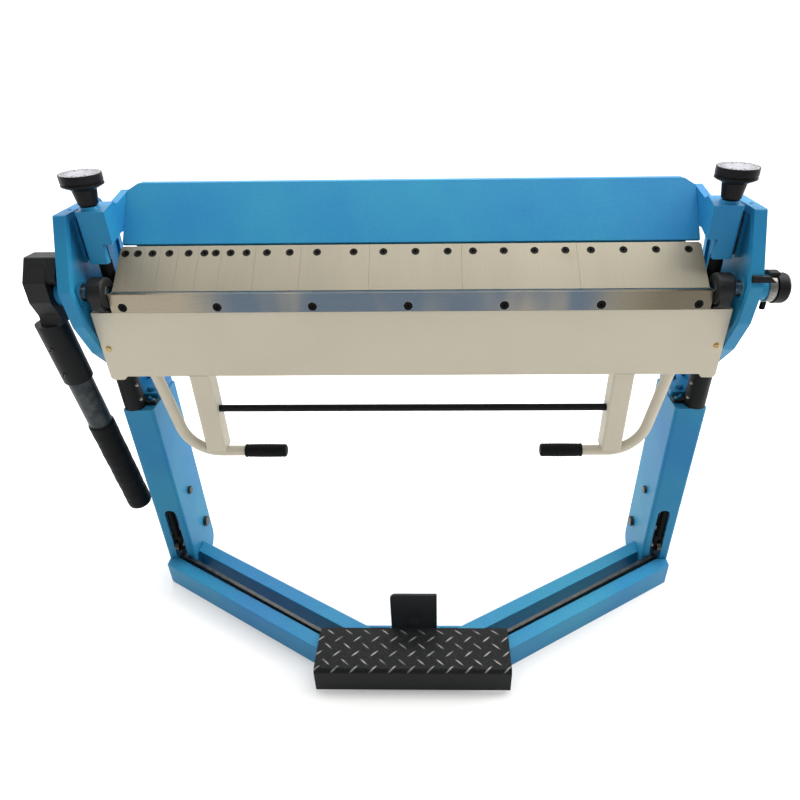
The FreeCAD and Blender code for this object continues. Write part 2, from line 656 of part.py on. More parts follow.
def leg():
    """Right leg: pressed channel, open at the back, with top and foot plates."""
    wall = LEG_WALL
    inner_r = LEG_BEND_R - LEG_WALL
    corners = [(LEG_IN, LEG_BACK), (LEG_IN, LEG_FRONT, LEG_BEND_R), (LEG_OUT, LEG_FRONT, LEG_BEND_R),
               (LEG_OUT, LEG_BACK), (LEG_OUT - wall, LEG_BACK), (LEG_OUT - wall, LEG_FRONT + wall, inner_r),
               (LEG_IN + wall, LEG_FRONT + wall, inner_r), (LEG_IN + wall, LEG_BACK)]
    shell = plate(corners, "XY", FLOOR, LEG_TOP - LEG_PLATE)
    top = plate([(LEG_IN, LEG_BACK), (LEG_IN, LEG_FRONT, LEG_BEND_R), (LEG_OUT, LEG_FRONT, LEG_BEND_R),
                 (LEG_OUT, LEG_BACK)], "XY", LEG_TOP - LEG_PLATE, LEG_TOP)
    foot_end = LEG_BACK - LEG_HEEL_R + 2
    foot = box(LEG_IN + wall, LEG_OUT - wall, LEG_FRONT + wall, foot_end, FLOOR, FLOOR + LEG_PLATE)
    body = shell.multiFuse([top, foot])
    heel = box(LEG_IN - 1, LEG_OUT + 1, LEG_BACK - LEG_HEEL_R, LEG_BACK + 1, FLOOR - 1, FLOOR + LEG_HEEL_R)
    round_r = rod(LEG_HEEL_R, V(LEG_IN - 2, LEG_BACK - LEG_HEEL_R, FLOOR + LEG_HEEL_R),
                  V(LEG_OUT + 2, LEG_BACK - LEG_HEEL_R, FLOOR + LEG_HEEL_R))
    body = body.cut(heel.cut(round_r))
    slot_left = LEG_IN + SLOT_INSET
    slot_r = SLOT_WIDTH / 2
    slot = plate([(slot_left, SLOT_BOTTOM), (slot_left, SLOT_TOP, slot_r - 1),
                  (slot_left + SLOT_WIDTH, SLOT_TOP, slot_r - 1), (slot_left + SLOT_WIDTH, SLOT_BOTTOM)],
                 "XZ", LEG_FRONT - 1, LEG_FRONT + wall + 1)
    body = body.cut(slot)
    rod_hole = rod(LOWER_ROD_R + FREE_GAP, V(PULL_X, ROD_Y, LEG_TOP - 20), V(PULL_X, ROD_Y, LEG_TOP + 1))
    pivot_hole = rod(PIVOT_R, V(LEG_IN - 1, *TREADLE_PIVOT), V(LEG_OUT + 1, *TREADLE_PIVOT))
    anchor_hole = rod(PIVOT_R - 2, V(LEG_IN - 1, *SPRING_ANCHOR), V(LEG_OUT + 1, *SPRING_ANCHOR))
    body = body.cut(rod_hole).cut(pivot_hole).cut(anchor_hole)
    for y in (ANCHOR_FRONT, ANCHOR_BACK):
        body = body.cut(rod(ANCHOR_R, V(LEG_X, y, FLOOR - 1), V(LEG_X, y, FLOOR + LEG_PLATE + 1)))
    return body.removeSplitter()


def hex_head(across, thick, at, axis):
    """Hexagon head standing on a point."""
    side = Y_AXIS if abs(axis.dot(Y_AXIS)) < 0.5 else Z_AXIS
    other = axis.cross(side)
    radius = across / math.sqrt(3)
    points = [at + side * (radius * math.cos(math.radians(60 * i)))
              + other * (radius * math.sin(math.radians(60 * i))) for i in range(6)]
    return Part.Face(Part.makePolygon(points + points[:1])).extrude(axis * thick)


def cross_bolt(radius, y, z):
    """Right leg's bolt through both walls, with its head on the inner side and a nut."""
    shank = rod(radius, V(LEG_IN, y, z), V(LEG_OUT + 14, y, z))
    head = hex_head(radius * 3.2, radius * 1.3, V(LEG_IN, y, z), V(-1, 0, 0))
    nut = hex_head(radius * 3.2, radius * 1.5, V(LEG_OUT, y, z), X_AXIS)
    return shank.multiFuse([head, nut]).removeSplitter()


def slanted(length_in, length_out, near, far, low, high):
    """Right-hand bar along the base's slanting line, between two offsets behind it."""
    bar = box(length_in, length_out, -far, -near, low, high)
    bar.rotate(V(0, 0, 0), Z_AXIS, 180 + math.degrees(BASE_ANGLE))
    bar.translate(BASE_START)
    return bar


def slanted_tube(near):
    """Uncut hollow base tube and its full outer bar."""
    reach = 900.0
    outer = slanted(-60, reach, near, near + TUBE_WIDE, FLOOR, TUBE_TOP)
    inner = slanted(-60, reach, near + TUBE_WALL, near + TUBE_WIDE - TUBE_WALL,
                    FLOOR + TUBE_WALL, TUBE_TOP - TUBE_WALL)
    return outer, inner


def base_tube(near, outer_x, outer_y):
    """Right base tube, closed at both ends and butted to the cross tube."""
    outer, inner = slanted_tube(near)
    keep = box(0, outer_x, CROSS_BACK, outer_y, FLOOR - 1, TUBE_TOP + 1)
    hollow = box(0, outer_x - TUBE_WALL, CROSS_BACK + TUBE_WALL, outer_y - TUBE_WALL, FLOOR - 1, TUBE_TOP + 1)
    return outer.common(keep).cut(inner.common(hollow)).removeSplitter()


def cross_tube():
    """Closed cross tube under the pedal."""
    front = CROSS_BACK - TUBE_WIDE
    outer = box(-CROSS_HALF, CROSS_HALF, front, CROSS_BACK, FLOOR, TUBE_TOP)
    wall = TUBE_WALL
    inner = box(wall - CROSS_HALF, CROSS_HALF - wall, front + wall, CROSS_BACK - wall,
                FLOOR + wall, TUBE_TOP - wall)
    return outer.cut(inner)


def bed_beam():
    """Lower beam: bed plate with its front edge on the bend line over a hollow box."""
    bed_top = -SHEET_GAP
    under = bed_top - BED_THICK
    bed = plate([(SHEET_GAP, bed_top), (BED_BACK, bed_top, 4), (BED_BACK, under), (SHEET_GAP, under, 3)],
                "YZ", -HALF - BED_OVERHANG, HALF + BED_OVERHANG)
    half = HALF - BED_BOX_SHORTER
    wall = BED_BOX_WALL
    outer = box(-half, half, BED_BOX_FRONT, BED_BOX_BACK, BED_BOX_LOW, under)
    inner = box(wall - half, half - wall, BED_BOX_FRONT + wall, BED_BOX_BACK - wall, BED_BOX_LOW + wall, under)
    return bed.fuse(outer.cut(inner)).removeSplitter()


def bed_end_bracket():
    """Right bracket between the bed beam's end and the side frame, open to the front."""
    inner = HALF - BED_BOX_SHORTER
    wall = BRACKET_WALL
    outer = box(inner, FRAME_IN, BRACKET_FRONT, BRACKET_BACK, BRACKET_LOW, BRACKET_HIGH)
    pocket = box(inner + wall, FRAME_IN - wall, BRACKET_FRONT - 1, BRACKET_BACK - wall,
                 BRACKET_LOW + wall, BRACKET_HIGH - wall)
    return outer.cut(pocket)


def rear_tie_beam():
    """Channel that ties the two side frames together at the back."""
    outer = box(-FRAME_IN, FRAME_IN, TIE_FRONT, TIE_FRONT + TIE_DEEP, TIE_LOW, TIE_HIGH)
    inside = box(-FRAME_IN - 1, FRAME_IN + 1, TIE_FRONT + TIE_WALL, TIE_FRONT + TIE_DEEP + 1,
                 TIE_LOW + TIE_WALL, TIE_HIGH - TIE_WALL)
    return outer.cut(inside)


def bending_bar():
    """Bending bar with its seven sunk screw holes."""
    back = -SHEET_GAP - 0.1
    top = -SHEET_GAP
    bar = plate([(back - BAR_THICK, top, 1), (back - BAR_THICK, top - BAR_HEIGHT, 1),
                 (back, top - BAR_HEIGHT), (back, top)], "YZ", -BAR_HALF, BAR_HALF)
    for x in bar_hole_places():
        at = V(x, back - BAR_THICK, -BAR_HOLE_DROP)
        bar = bar.cut(rod(BAR_HOLE_R, at - Y_AXIS, at + Y_AXIS * BAR_HOLE_DEPTH))
        bar = bar.cut(rod(BAR_SCREW_R, at, at + Y_AXIS * (BAR_THICK + 1)))
    return bar


def bar_hole_places():
    """X of the bending bar's holes."""
    first = -(BAR_HOLE_COUNT - 1) / 2 * BAR_HOLE_PITCH
    return [first + BAR_HOLE_PITCH * i for i in range(BAR_HOLE_COUNT)]


def bar_screws():
    """Screws of the bending bar, one solid each."""
    back = -SHEET_GAP - 0.1
    screws = []
    for x in bar_hole_places():
        seat = V(x, back - BAR_THICK + BAR_HOLE_DEPTH, -BAR_HOLE_DROP)
        head = rod(BAR_SCREW_HEAD_R, seat - Y_AXIS * 5, seat)
        shank = rod(BAR_SCREW_R, seat, V(x, 18, -BAR_HOLE_DROP))
        screws.append(head.fuse(shank).removeSplitter())
    return Part.makeCompound(screws)


def bar_seat_rail():
    """Rail between the bending bar and the apron panel's top flange."""
    back = -SHEET_GAP - 0.1
    rail = plate([(back, SEAT_RAIL_TOP), (SEAT_RAIL_DEPTH, SEAT_RAIL_TOP, 4),
                  (SEAT_RAIL_DEPTH, PANEL_TOP), (back, PANEL_TOP)], "YZ", -BAR_HALF, BAR_HALF)
    for x in bar_hole_places():
        rail = rail.cut(rod(BAR_SCREW_R, V(x, back - 1, -BAR_HOLE_DROP), V(x, 18, -BAR_HOLE_DROP)))
    return rail


def apron_panel():
    """Folded apron panel with top and bottom returns and a lug at each lower corner."""
    half = FRAME_IN - PANEL_SIDE_GAP
    wall = PANEL_WALL
    low = PANEL_BOTTOM - PANEL_LUG_DROP
    lug_in = half - PANEL_LUG_WIDTH
    face = plate([(-half, PANEL_TOP), (half, PANEL_TOP), (half, low, 9), (lug_in, low, 9),
                  (lug_in, PANEL_BOTTOM), (-lug_in, PANEL_BOTTOM), (-lug_in, low, 9), (-half, low, 9)],
                 "XZ", PANEL_FRONT, PANEL_FRONT + wall)
    top = box(-half, half, PANEL_FRONT, SEAT_RAIL_DEPTH, PANEL_TOP - wall, PANEL_TOP)
    return_half = half - RETURN_SHORTER
    bottom = box(-return_half, return_half, PANEL_FRONT, PANEL_RETURN, PANEL_BOTTOM, PANEL_BOTTOM + wall)
    return face.multiFuse([top, bottom]).removeSplitter()


def hinge_block():
    """Right hinge block: wide round eye with soft rims and a knee that stands on the panel."""
    eye = rod(HINGE_R, V(HINGE_IN, 0, 0), V(HINGE_OUT, 0, 0))
    rims = [edge for edge in eye.Edges if edge.Closed]
    eye = eye.makeFillet(HINGE_ROUND, rims)
    front = 0.5 - HINGE_R
    knee = plate([(front, 4), (front, -30, 12), (-9, -40, 8), (-5, PANEL_TOP), (22, PANEL_TOP),
                  (HINGE_R - 1, -4), (0, 4)], "YZ", HINGE_IN + HINGE_ROUND, HINGE_OUT - HINGE_ROUND)
    bore = rod(SHAFT_R, V(HINGE_IN - 1, 0, 0), V(HINGE_OUT + 1, 0, 0))
    return eye.fuse(knee).cut(bore).removeSplitter()


def pivot_shaft(side):
    """Apron shaft, from the hinge block through the side frame to its lever or stop."""
    end = LEVER_OUT - 4 if side < 0 else BOSS_END + RING_LENGTH + CAP_LENGTH - 6
    return rod(SHAFT_R, V(side * (HINGE_IN + 1), 0, 0), V(side * end, 0, 0))


def handle_tube():
    """Right handle tube: down from the panel, round the bend and in to the grip."""
    corner = V(HANDLE_CORNER[0], HANDLE_Y, HANDLE_CORNER[1])
    top = V(HANDLE_X, HANDLE_Y, PANEL_BOTTOM)
    end = V(GRIP_IN + 4, HANDLE_Y, HANDLE_CORNER[1])
    up = (top - corner).normalize()
    inward = (end - corner).normalize()
    half = up.getAngle(inward) / 2
    reach = HANDLE_BEND_R / math.tan(half)
    bisector = (up + inward).normalize()
    middle = corner + bisector * (HANDLE_BEND_R / math.sin(half) - HANDLE_BEND_R)
    first = corner + up * reach
    last = corner + inward * reach
    start = top + up * 6
    path = Part.Wire([Part.LineSegment(start, first).toShape(), Part.Arc(first, middle, last).toShape(),
                      Part.LineSegment(last, end).toShape()])
    circle = Part.Wire(Part.makeCircle(HANDLE_TUBE_R, start, up * -1))
    tube = path.makePipeShell([circle], True, False)
    return tube.cut(box(0, 2 * HANDLE_X, -60, 80, PANEL_BOTTOM, PANEL_BOTTOM + 60))


def handle_grip():
    """Right sleeve grip, slightly swollen, on the handle tube's inner end."""
    length = GRIP_OUT - GRIP_IN
    inner = HANDLE_TUBE_R
    profile = [(inner, 4), (0, 4), (0, 0), (14.5, 0), (16.5, 3), (17, length / 2), (16.5, length - 3),
               (15.5, length), (inner, length)]
    return turned(profile, V(GRIP_IN, HANDLE_Y, HANDLE_CORNER[1]), X_AXIS)


def handle_strut():
    """Right strut: folded channel from the panel down to the handle tube."""
    out = STRUT_IN + STRUT_WIDE
    wall = STRUT_WALL
    low = HANDLE_CORNER[1] + 8
    outer = plate([(STRUT_IN, PANEL_RETURN), (STRUT_IN, PANEL_FRONT, 6),
                   (out, PANEL_FRONT, 6), (out, PANEL_RETURN)], "XY", low, PANEL_BOTTOM)
    inside = box(STRUT_IN + wall, out - wall, PANEL_FRONT + wall, PANEL_RETURN + 1, low - 1, PANEL_BOTTOM + 1)
    channel = outer.cut(inside)
    return max(channel.cut(handle_tube()).Solids, key=lambda s: s.Volume)


def handle_tie_rod():
    """Round tie rod between the two struts."""
    return rod(TIE_ROD_R, V(-STRUT_IN, 15, TIE_ROD_Z), V(STRUT_IN, 15, TIE_ROD_Z))


def lever_point(z):
    """Point on the side lever's centre line."""
    return V(-LEVER_X, LEVER_NECK_Y + (LEVER_NECK_Z - z) * LEVER_LEAN, z)


def lever_head():
    """Forged head of the side lever: hub, upper lug over the boss and neck."""
    inner = BOSS_END + SEAT_GAP
    corners = [(-10, 82, 5), (34, 80, 8), (54, 22, 26), (44, -34, 26), (19, LEVER_NECK_LOW),
               (-32, LEVER_NECK_LOW), (-28, -42, 10), (-43, -6, 12), (-42, 38, 8)]
    head = plate(corners, "YZ", -LEVER_OUT, -inner)
    lug = plate([(-10, 82, 5), (34, 80, 8), (40, 60), (32, 30, 6), (-30, 30, 6), (-38, 42, 4)],
                "YZ", -inner - 1, -FRAME_OUT - 6)
    bore = rod(SHAFT_R, V(-LEVER_OUT - 1, 0, 0), V(-inner + 1, 0, 0))
    return head.fuse(lug).cut(bore).removeSplitter()


def lever_socket():
    """Round socket under the head that holds the lever pipe."""
    top = lever_point(LEVER_NECK_LOW)
    low = lever_point(SOCKET_LOW)
    body = rod(SOCKET_R, lever_point(LEVER_NECK_LOW + SOCKET_R), low)
    body = body.cut(box(-LEVER_X - 2 * SOCKET_R, -LEVER_X + 2 * SOCKET_R, -90, 60, top.z, 0))
    axis = (low - top).normalize()
    bore = rod(PIPE_R, low - axis * SOCKET_DEPTH, low + axis * 2)
    return body.cut(bore)


def lever_pipe():
    """Steel pipe of the side lever."""
    low = lever_point(SOCKET_LOW)
    end = lever_point(PIPE_LOW)
    axis = (end - low).normalize()
    start = low - axis * SOCKET_DEPTH
    outer = rod(PIPE_R, start, end)
    inner = rod(PIPE_R - PIPE_WALL, start - axis, end + axis)
    return outer.cut(inner)


def lever_grip():
    """Rubber grip on the side lever with a rounded closed end."""
    top = lever_point(LEVER_GRIP_TOP)
    low = lever_point(LEVER_GRIP_LOW)
    axis = (low - top).normalize()
    length = (low - top).Length
    side = X_AXIS
    inner_end = (lever_point(PIPE_LOW) - top).Length
    profile = [(PIPE_R, 0), (LEVER_GRIP_R - 2, 0), (LEVER_GRIP_R, 3), (LEVER_GRIP_R, length - 8),
               (LEVER_GRIP_R - 4, length - 1.5), (LEVER_GRIP_R - 8, length), (0, length), (0, inner_end),
               (PIPE_R, inner_end)]
    points = [top + side * r + axis * h for r, h in profile]
    face = Part.Face(Part.makePolygon(points + points[:1]))
    return face.revolve(top, axis, 360)


def graduated_ring():
    """Plain silver ring of the angle stop, on the right apron shaft."""
    start = BOSS_END + SEAT_GAP
    profile = [(SHAFT_R + RUNNING_FIT, 0), (RING_R - 1.5, 0), (RING_R, 1.5), (RING_R, RING_LENGTH - 3),
               (RING_R - 2, RING_LENGTH - 1), (SHAFT_R + RUNNING_FIT, RING_LENGTH - 1)]
    ring = turned(profile, V(start, 0, 0), X_AXIS)
    x = lock_screw_x()
    hole = rod(LOCK_SCREW_R, V(x, 0, -RING_R - 2), V(x, 0, -SHAFT_R + 5))
    return ring.cut(hole)


def ring_lock_screw():
    """Round lock screw that stands under the graduated ring."""
    high = -SHAFT_R - SEAT_GAP - LOCK_SCREW_LOW
    profile = [(0, 0), (LOCK_SCREW_R - 2.5, 0), (LOCK_SCREW_R, 2.5), (LOCK_SCREW_R, high), (0, high)]
    return turned(profile, V(lock_screw_x(), 0, LOCK_SCREW_LOW), Z_AXIS)


def lock_screw_x():
    """X of the ring's lock screw, in the middle of the ring."""
    return BOSS_END + SEAT_GAP + (RING_LENGTH - 1) / 2


def stop_cap():
    """Black cap of the angle stop on the shaft's end, with a hood over the top and back of the ring."""
    start = BOSS_END + RING_LENGTH
    profile = [(SHAFT_R, 0), (CAP_R, 0), (CAP_R, CAP_LENGTH - 7), (CAP_R - 2, CAP_LENGTH - 2.5),
               (CAP_R - 6, CAP_LENGTH), (0, CAP_LENGTH), (0, CAP_LENGTH - 6), (SHAFT_R, CAP_LENGTH - 6)]
    cap = turned(profile, V(start, 0, 0), X_AXIS)
    hood_in = BOSS_END + SEAT_GAP
    hood_end = start + HOOD_END
    inner = RING_R + HOOD_GAP
    hood = turned([(inner, hood_in), (HOOD_R - 1.5, hood_in), (HOOD_R, hood_in + 1.5), (HOOD_R, hood_end - 2),
                   (HOOD_R - 2, hood_end), (inner, hood_end)], V(0, 0, 0), X_AXIS)
    reach = 2 * HOOD_R
    hood = hood.cut(box(hood_in - 1, hood_end + 1, -reach, HOOD_FRONT, -reach, reach))
    hood = hood.cut(box(hood_in - 1, hood_end + 1, -reach, reach, -reach, HOOD_LOW))
    return cap.fuse(hood).removeSplitter()


def angle_pointer():
    """Pointer strap with a slanted tip, on a foot that sits on the front edge of the right side frame."""
    back = POINTER_FRONT + POINTER_THICK
    tip = BOSS_END - POINTER_GAP
    strap = plate([(FRAME_IN + 1, POINTER_LOW), (tip, POINTER_LOW), (tip - POINTER_SLANT, POINTER_HIGH),
                   (FRAME_IN + 1, POINTER_HIGH)], "XZ", POINTER_FRONT, back)
    foot = box(FRAME_IN + 1, FRAME_OUT - 1, back - 1, FRAME_NOSE_Y + 14, POINTER_LOW, POINTER_HIGH)
    foot = foot.cut(side_frame())
    foot = max(foot.Solids, key=lambda solid: solid.BoundBox.YLength)
    return strap.cut(side_frame()).fuse(foot).removeSplitter()


def treadle_arm():
    """Right treadle arm: slotted lever in the leg and a flat bar along the base tube."""
    pivot_y, pivot_z = TREADLE_PIVOT
    half = LEVER_THICK / 2
    left = PULL_X - half
    right = PULL_X + half
    reach = pivot_y - ROD_Y
    nose_y = ROD_Y - (math.hypot(reach, BEAM_LIFT) - reach)
    nose_r = 14.0
    hub = rod(PIVOT_R + 7, V(LEG_IN + LEG_WALL + FREE_GAP, pivot_y, pivot_z),
              V(LEG_OUT - LEG_WALL - FREE_GAP, pivot_y, pivot_z))
    nose = rod(nose_r, V(left, nose_y, pivot_z), V(right, nose_y, pivot_z))
    link = box(left, right, nose_y, pivot_y, pivot_z - nose_r, pivot_z + nose_r)
    low = ARM_TOP_OUT - ARM_HIGH
    tail = plate([(LEG_FRONT + LEG_WALL, low), (LEG_FRONT + 30, low, 8), (pivot_y - 20, pivot_z),
                  (nose_y, pivot_z)], "YZ", left, right)
    near = TUBE_WIDE + ARM_GAP
    end_along = (BASE_START.y + near * math.cos(BASE_ANGLE) - ARM_END_Y) / math.sin(BASE_ANGLE)
    start_along = (BASE_START.x - near * math.sin(BASE_ANGLE) - PULL_X) / math.cos(BASE_ANGLE)
    bar_low = PEDAL_TOP - PEDAL_SHEET
    level_along = end_along - ARM_LEVEL
    bar = plate([(start_along, ARM_TOP_OUT), (level_along, bar_low), (end_along, bar_low),
                 (end_along, bar_low - ARM_HIGH, 8), (level_along, bar_low - ARM_HIGH), (start_along, low)],
                "XZ", -near - ARM_THICK, -near)
    bar.rotate(V(0, 0, 0), Z_AXIS, 180 + math.degrees(BASE_ANGLE))
    bar.translate(V(BASE_START.x, BASE_START.y, 0))
    arm = link.multiFuse([nose, tail, hub, bar])
    bore = rod(PIVOT_R + RUNNING_FIT, V(LEG_IN, pivot_y, pivot_z), V(LEG_OUT, pivot_y, pivot_z))
    slot_r = ROD_PIN_R + 0.95
    slot_z = pivot_z - 0.25
    ends = [rod(slot_r, V(left - 1, y, slot_z), V(right + 1, y, slot_z)) for y in (nose_y, ROD_Y)]
    between = box(left - 1, right + 1, nose_y, ROD_Y, slot_z - slot_r, slot_z + slot_r)
    stud = rod(STUD_R, V(right - 1, SPRING_ANCHOR[0], pivot_z),
               V(spring_x() + SPRING_COIL_R + SPRING_WIRE_R, SPRING_ANCHOR[0], pivot_z))
    arm = arm.fuse(stud).cut(pedal_plate())
    return arm.cut(bore).cut(ends[0]).cut(ends[1]).cut(between).removeSplitter()


def pedal_plate():
    """Folded pedal: tread, front apron rounded at the fold, and a rear strip bent down."""
    sheet = PEDAL_SHEET
    back = PEDAL_TOP - PEDAL_BACK_DROP
    corners = [(PEDAL_FRONT, PEDAL_LIP_BOTTOM), (PEDAL_FRONT, PEDAL_TOP, 12), (PEDAL_FOLD, PEDAL_TOP),
               (PEDAL_BACK, back), (PEDAL_BACK, back - sheet), (PEDAL_FOLD, PEDAL_TOP - sheet),
               (PEDAL_FRONT + sheet, PEDAL_TOP - sheet, 8), (PEDAL_FRONT + sheet, PEDAL_LIP_BOTTOM)]
    return plate(corners, "YZ", -PEDAL_HALF, PEDAL_HALF)


def latch_plate():
    """Release latch: upright plate on a hub, with a nose towards the pedal's edge."""
    y, z = LATCH_PIN
    tip = LATCH_FRONT - LATCH_NOSE_REACH
    half = LATCH_HALF
    upright = plate([(-half, z), (-half, LATCH_TOP, 14), (half, LATCH_TOP, 3), (half, z)],
                    "XZ", LATCH_FRONT, LATCH_FRONT + LATCH_THICK)
    hub = rod(LATCH_HUB_R, V(-half, y, z), V(half, y, z))
    nose = plate([(LATCH_FRONT, PEDAL_TOP + 4), (tip, PEDAL_TOP + 5), (tip, PEDAL_TOP + 7),
                  (LATCH_FRONT, PEDAL_TOP + 30)], "YZ", -LATCH_NOSE_HALF, LATCH_NOSE_HALF)
    bore = rod(LATCH_PIN_R + RUNNING_FIT, V(-half - 1, y, z), V(half + 1, y, z))
    return upright.multiFuse([hub, nose]).cut(bore).removeSplitter()


def latch_bracket():
    """Low cross plate between the rear tubes with two ears for the latch pin."""
    y, z = LATCH_PIN
    back = y + LATCH_BRACKET_BEHIND
    web_top = z - 4
    web = box(-LATCH_BRACKET_HALF, LATCH_BRACKET_HALF, back, back + LATCH_BRACKET_WALL,
              FLOOR + LATCH_BRACKET_LIFT, web_top)
    rear_outer, _ = slanted_tube(TUBE_WIDE + TUBE_GAP)
    for shape in (rear_outer, mirrored(rear_outer)):
        web = web.cut(shape)
    web = max(web.Solids, key=lambda s: s.Volume)
    r = LATCH_EAR_R
    ears = []
    for side in (-1, 1):
        x0 = LATCH_HALF + SEAT_GAP
        ear = plate([(y - r, z - r, 8), (back, z - r), (back, web_top), (y + 4, z + r, 6), (y - r, z + r, 8)],
                    "YZ", x0, x0 + LATCH_EAR)
        ear = ear.cut(rod(LATCH_PIN_R, V(x0 - 1, y, z), V(x0 + LATCH_EAR + 1, y, z)))
        ears.append(ear if side > 0 else mirrored(ear))
    return web.multiFuse(ears).removeSplitter()


def latch_pin():
    """Pin of the release latch."""
    y, z = LATCH_PIN
    reach = LATCH_HALF + SEAT_GAP + LATCH_EAR + 2
    return rod(LATCH_PIN_R, V(-reach, y, z), V(reach, y, z))


def return_spring():
    """Right return spring: coil with an eye on the anchor bolt and a long eye for the treadle's stud."""
    wire_r = SPRING_WIRE_R
    x = spring_x()
    y, anchor_z = SPRING_ANCHOR
    eye_x = x + SPRING_COIL_R
    stud_y, stud_z, run_y, run_z = stud_travel()
    top_eye_r = PIVOT_R - 2 + SEAT_GAP + wire_r
    top = anchor_z - top_eye_r
    loop_r = STUD_R + SEAT_GAP + wire_r + run_y / 2 + 0.2
    loop_y = stud_y + run_y / 2
    loop_low = stud_z + 1
    loop_high = stud_z + run_z + 2
    low = loop_high + loop_r
    pitch = (top - low) / SPRING_TURNS

    def point(turn):
        angle = 2 * math.pi * turn
        out = SPRING_COIL_R * math.cos(angle)
        return V(x + out, y + SPRING_COIL_R * math.sin(angle), top - pitch * turn)

    edges = []
    for quarter in range(4 * SPRING_TURNS):
        a, b, c = (point((quarter + k / 2) / 4) for k in range(3))
        edges.append(Part.Arc(a, b, c).toShape())
    path = Part.Wire(edges)
    circle = Part.Wire(Part.makeCircle(wire_r, point(0), point(0.01) - point(0)))
    coil = path.makePipeShell([circle], True, False)
    top_eye = Part.makeTorus(top_eye_r, wire_r, V(eye_x, y, anchor_z), X_AXIS)
    high_ring = Part.makeTorus(loop_r, wire_r, V(eye_x, loop_y, loop_high), X_AXIS)
    low_ring = Part.makeTorus(loop_r, wire_r, V(eye_x, loop_y, loop_low), X_AXIS)
    wide = 2 * loop_r
    high_half = high_ring.common(box(eye_x - wide, eye_x + wide, loop_y - wide, loop_y + wide,
                                     loop_high, top))
    low_half = low_ring.common(box(eye_x - wide, eye_x + wide, loop_y - wide, loop_y + wide,
                                   loop_low - wide, loop_low))
    sides = [rod(wire_r, V(eye_x, loop_y + s * loop_r, loop_low), V(eye_x, loop_y + s * loop_r, loop_high))
             for s in (-1, 1)]
    return coil.multiFuse([top_eye, high_half, low_half] + sides)


def spring_x():
    """X of the return spring's axis, beside the lever."""
    return PULL_X + LEVER_THICK / 2 + FREE_GAP + SPRING_WIRE_R + SPRING_COIL_R


def stud_travel():
    """Spring stud's rest place and how far it moves back and up with the treadle."""
    pivot_y, pivot_z = TREADLE_PIVOT
    arm = pivot_y - SPRING_ANCHOR[0]
    turn = math.atan2(BEAM_LIFT, pivot_y - ROD_Y)
    return SPRING_ANCHOR[0], pivot_z, arm * (1 - math.cos(turn)), arm * math.sin(turn)


def save(name, shape):
    """Write one piece, moved from the bend line to the machine's origin."""
    placed = shape.copy()
    placed.translate(MACHINE_SHIFT)
    if not placed.isValid():
        print("not valid:", name)
    print(name, len(placed.Solids), round(sum(s.Volume for s in placed.Solids) / 1000, 1))
    placed.exportStep("parts/" + name + ".step")


def main():
    os.makedirs("parts", exist_ok=True)

    save("side_frame_right", side_frame())
    save("side_frame_left", mirrored(side_frame()))
    save("leg_right", leg())
    save("leg_left", mirrored(leg()))
    save("front_base_tubes", pair(base_tube(0, FRAME_OUT - 8, LEG_FRONT)))
    save("rear_base_tubes", pair(base_tube(TUBE_WIDE + TUBE_GAP, LEG_IN, LEG_BACK)))
    save("base_cross_tube", cross_tube())
    save("bed_beam", bed_beam())
    save("bed_end_brackets", pair(bed_end_bracket()))
    save("rear_tie_beam", rear_tie_beam())
    save("rod_guides", pair(rod_guide()))
    save("shaft_bushes", pair(shaft_bush()))
    save("beam_guides", pair(beam_guide()))
    save("treadle_pivot_bolts", pair(cross_bolt(PIVOT_R, *TREADLE_PIVOT)))
    save("spring_anchor_bolts", pair(cross_bolt(PIVOT_R - 2, *SPRING_ANCHOR)))
    save("angle_pointer", angle_pointer())
    save("latch_bracket", latch_bracket())

    save("apron_panel", apron_panel())
    save("bending_bar", bending_bar())
    save("bar_seat_rail", bar_seat_rail())
    save("bar_screws", bar_screws())
    save("hinge_blocks", pair(hinge_block()))
    save("pivot_shaft_left", pivot_shaft(-1))
    save("pivot_shaft_right", pivot_shaft(1))
    save("handle_tubes", pair(handle_tube()))
    save("handle_grips", pair(handle_grip()))
    save("handle_struts", pair(handle_strut()))
    save("handle_tie_rod", handle_tie_rod())
    save("lever_head", lever_head())
    save("lever_socket", lever_socket())
    save("lever_pipe", lever_pipe())
    save("lever_grip", lever_grip())
    save("stop_cap", stop_cap())
    save("graduated_ring", graduated_ring())
    save("ring_lock_screw", ring_lock_screw())

    save("clamp_beam_box", clamp_beam_box())
    save("finger_seat_bar", finger_seat_bar())
    save("end_blocks", pair(end_block()))
    spans = finger_spans()
    for i, (left, width, screws) in enumerate(spans):
        outer_side = -1 if i == 0 else 1 if i == len(spans) - 1 else 0
        save("finger_%d" % width, finger(left, width, screws, outer_side))
    save("finger_screws", finger_screws())
    save("pull_rods", pair(pull_rod()))
    save("rod_pins", pair(rod_pin()))
    save("knob_left", knob(-1))
    save("knob_right", knob(1))

    save("treadle_arms", pair(treadle_arm()))
    save("pedal_plate", pedal_plate())
    save("latch_plate", latch_plate())
    save("latch_pin", latch_pin())
    save("return_springs", pair(return_spring()))


main()
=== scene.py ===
"""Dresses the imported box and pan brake: finishes, small parts, studio and camera."""

import logging
import math
from collections.abc import Callable, Sequence
from dataclasses import dataclass, field
from enum import Enum
from functools import cache

import bmesh
import bpy
from mathutils import Matrix, Vector


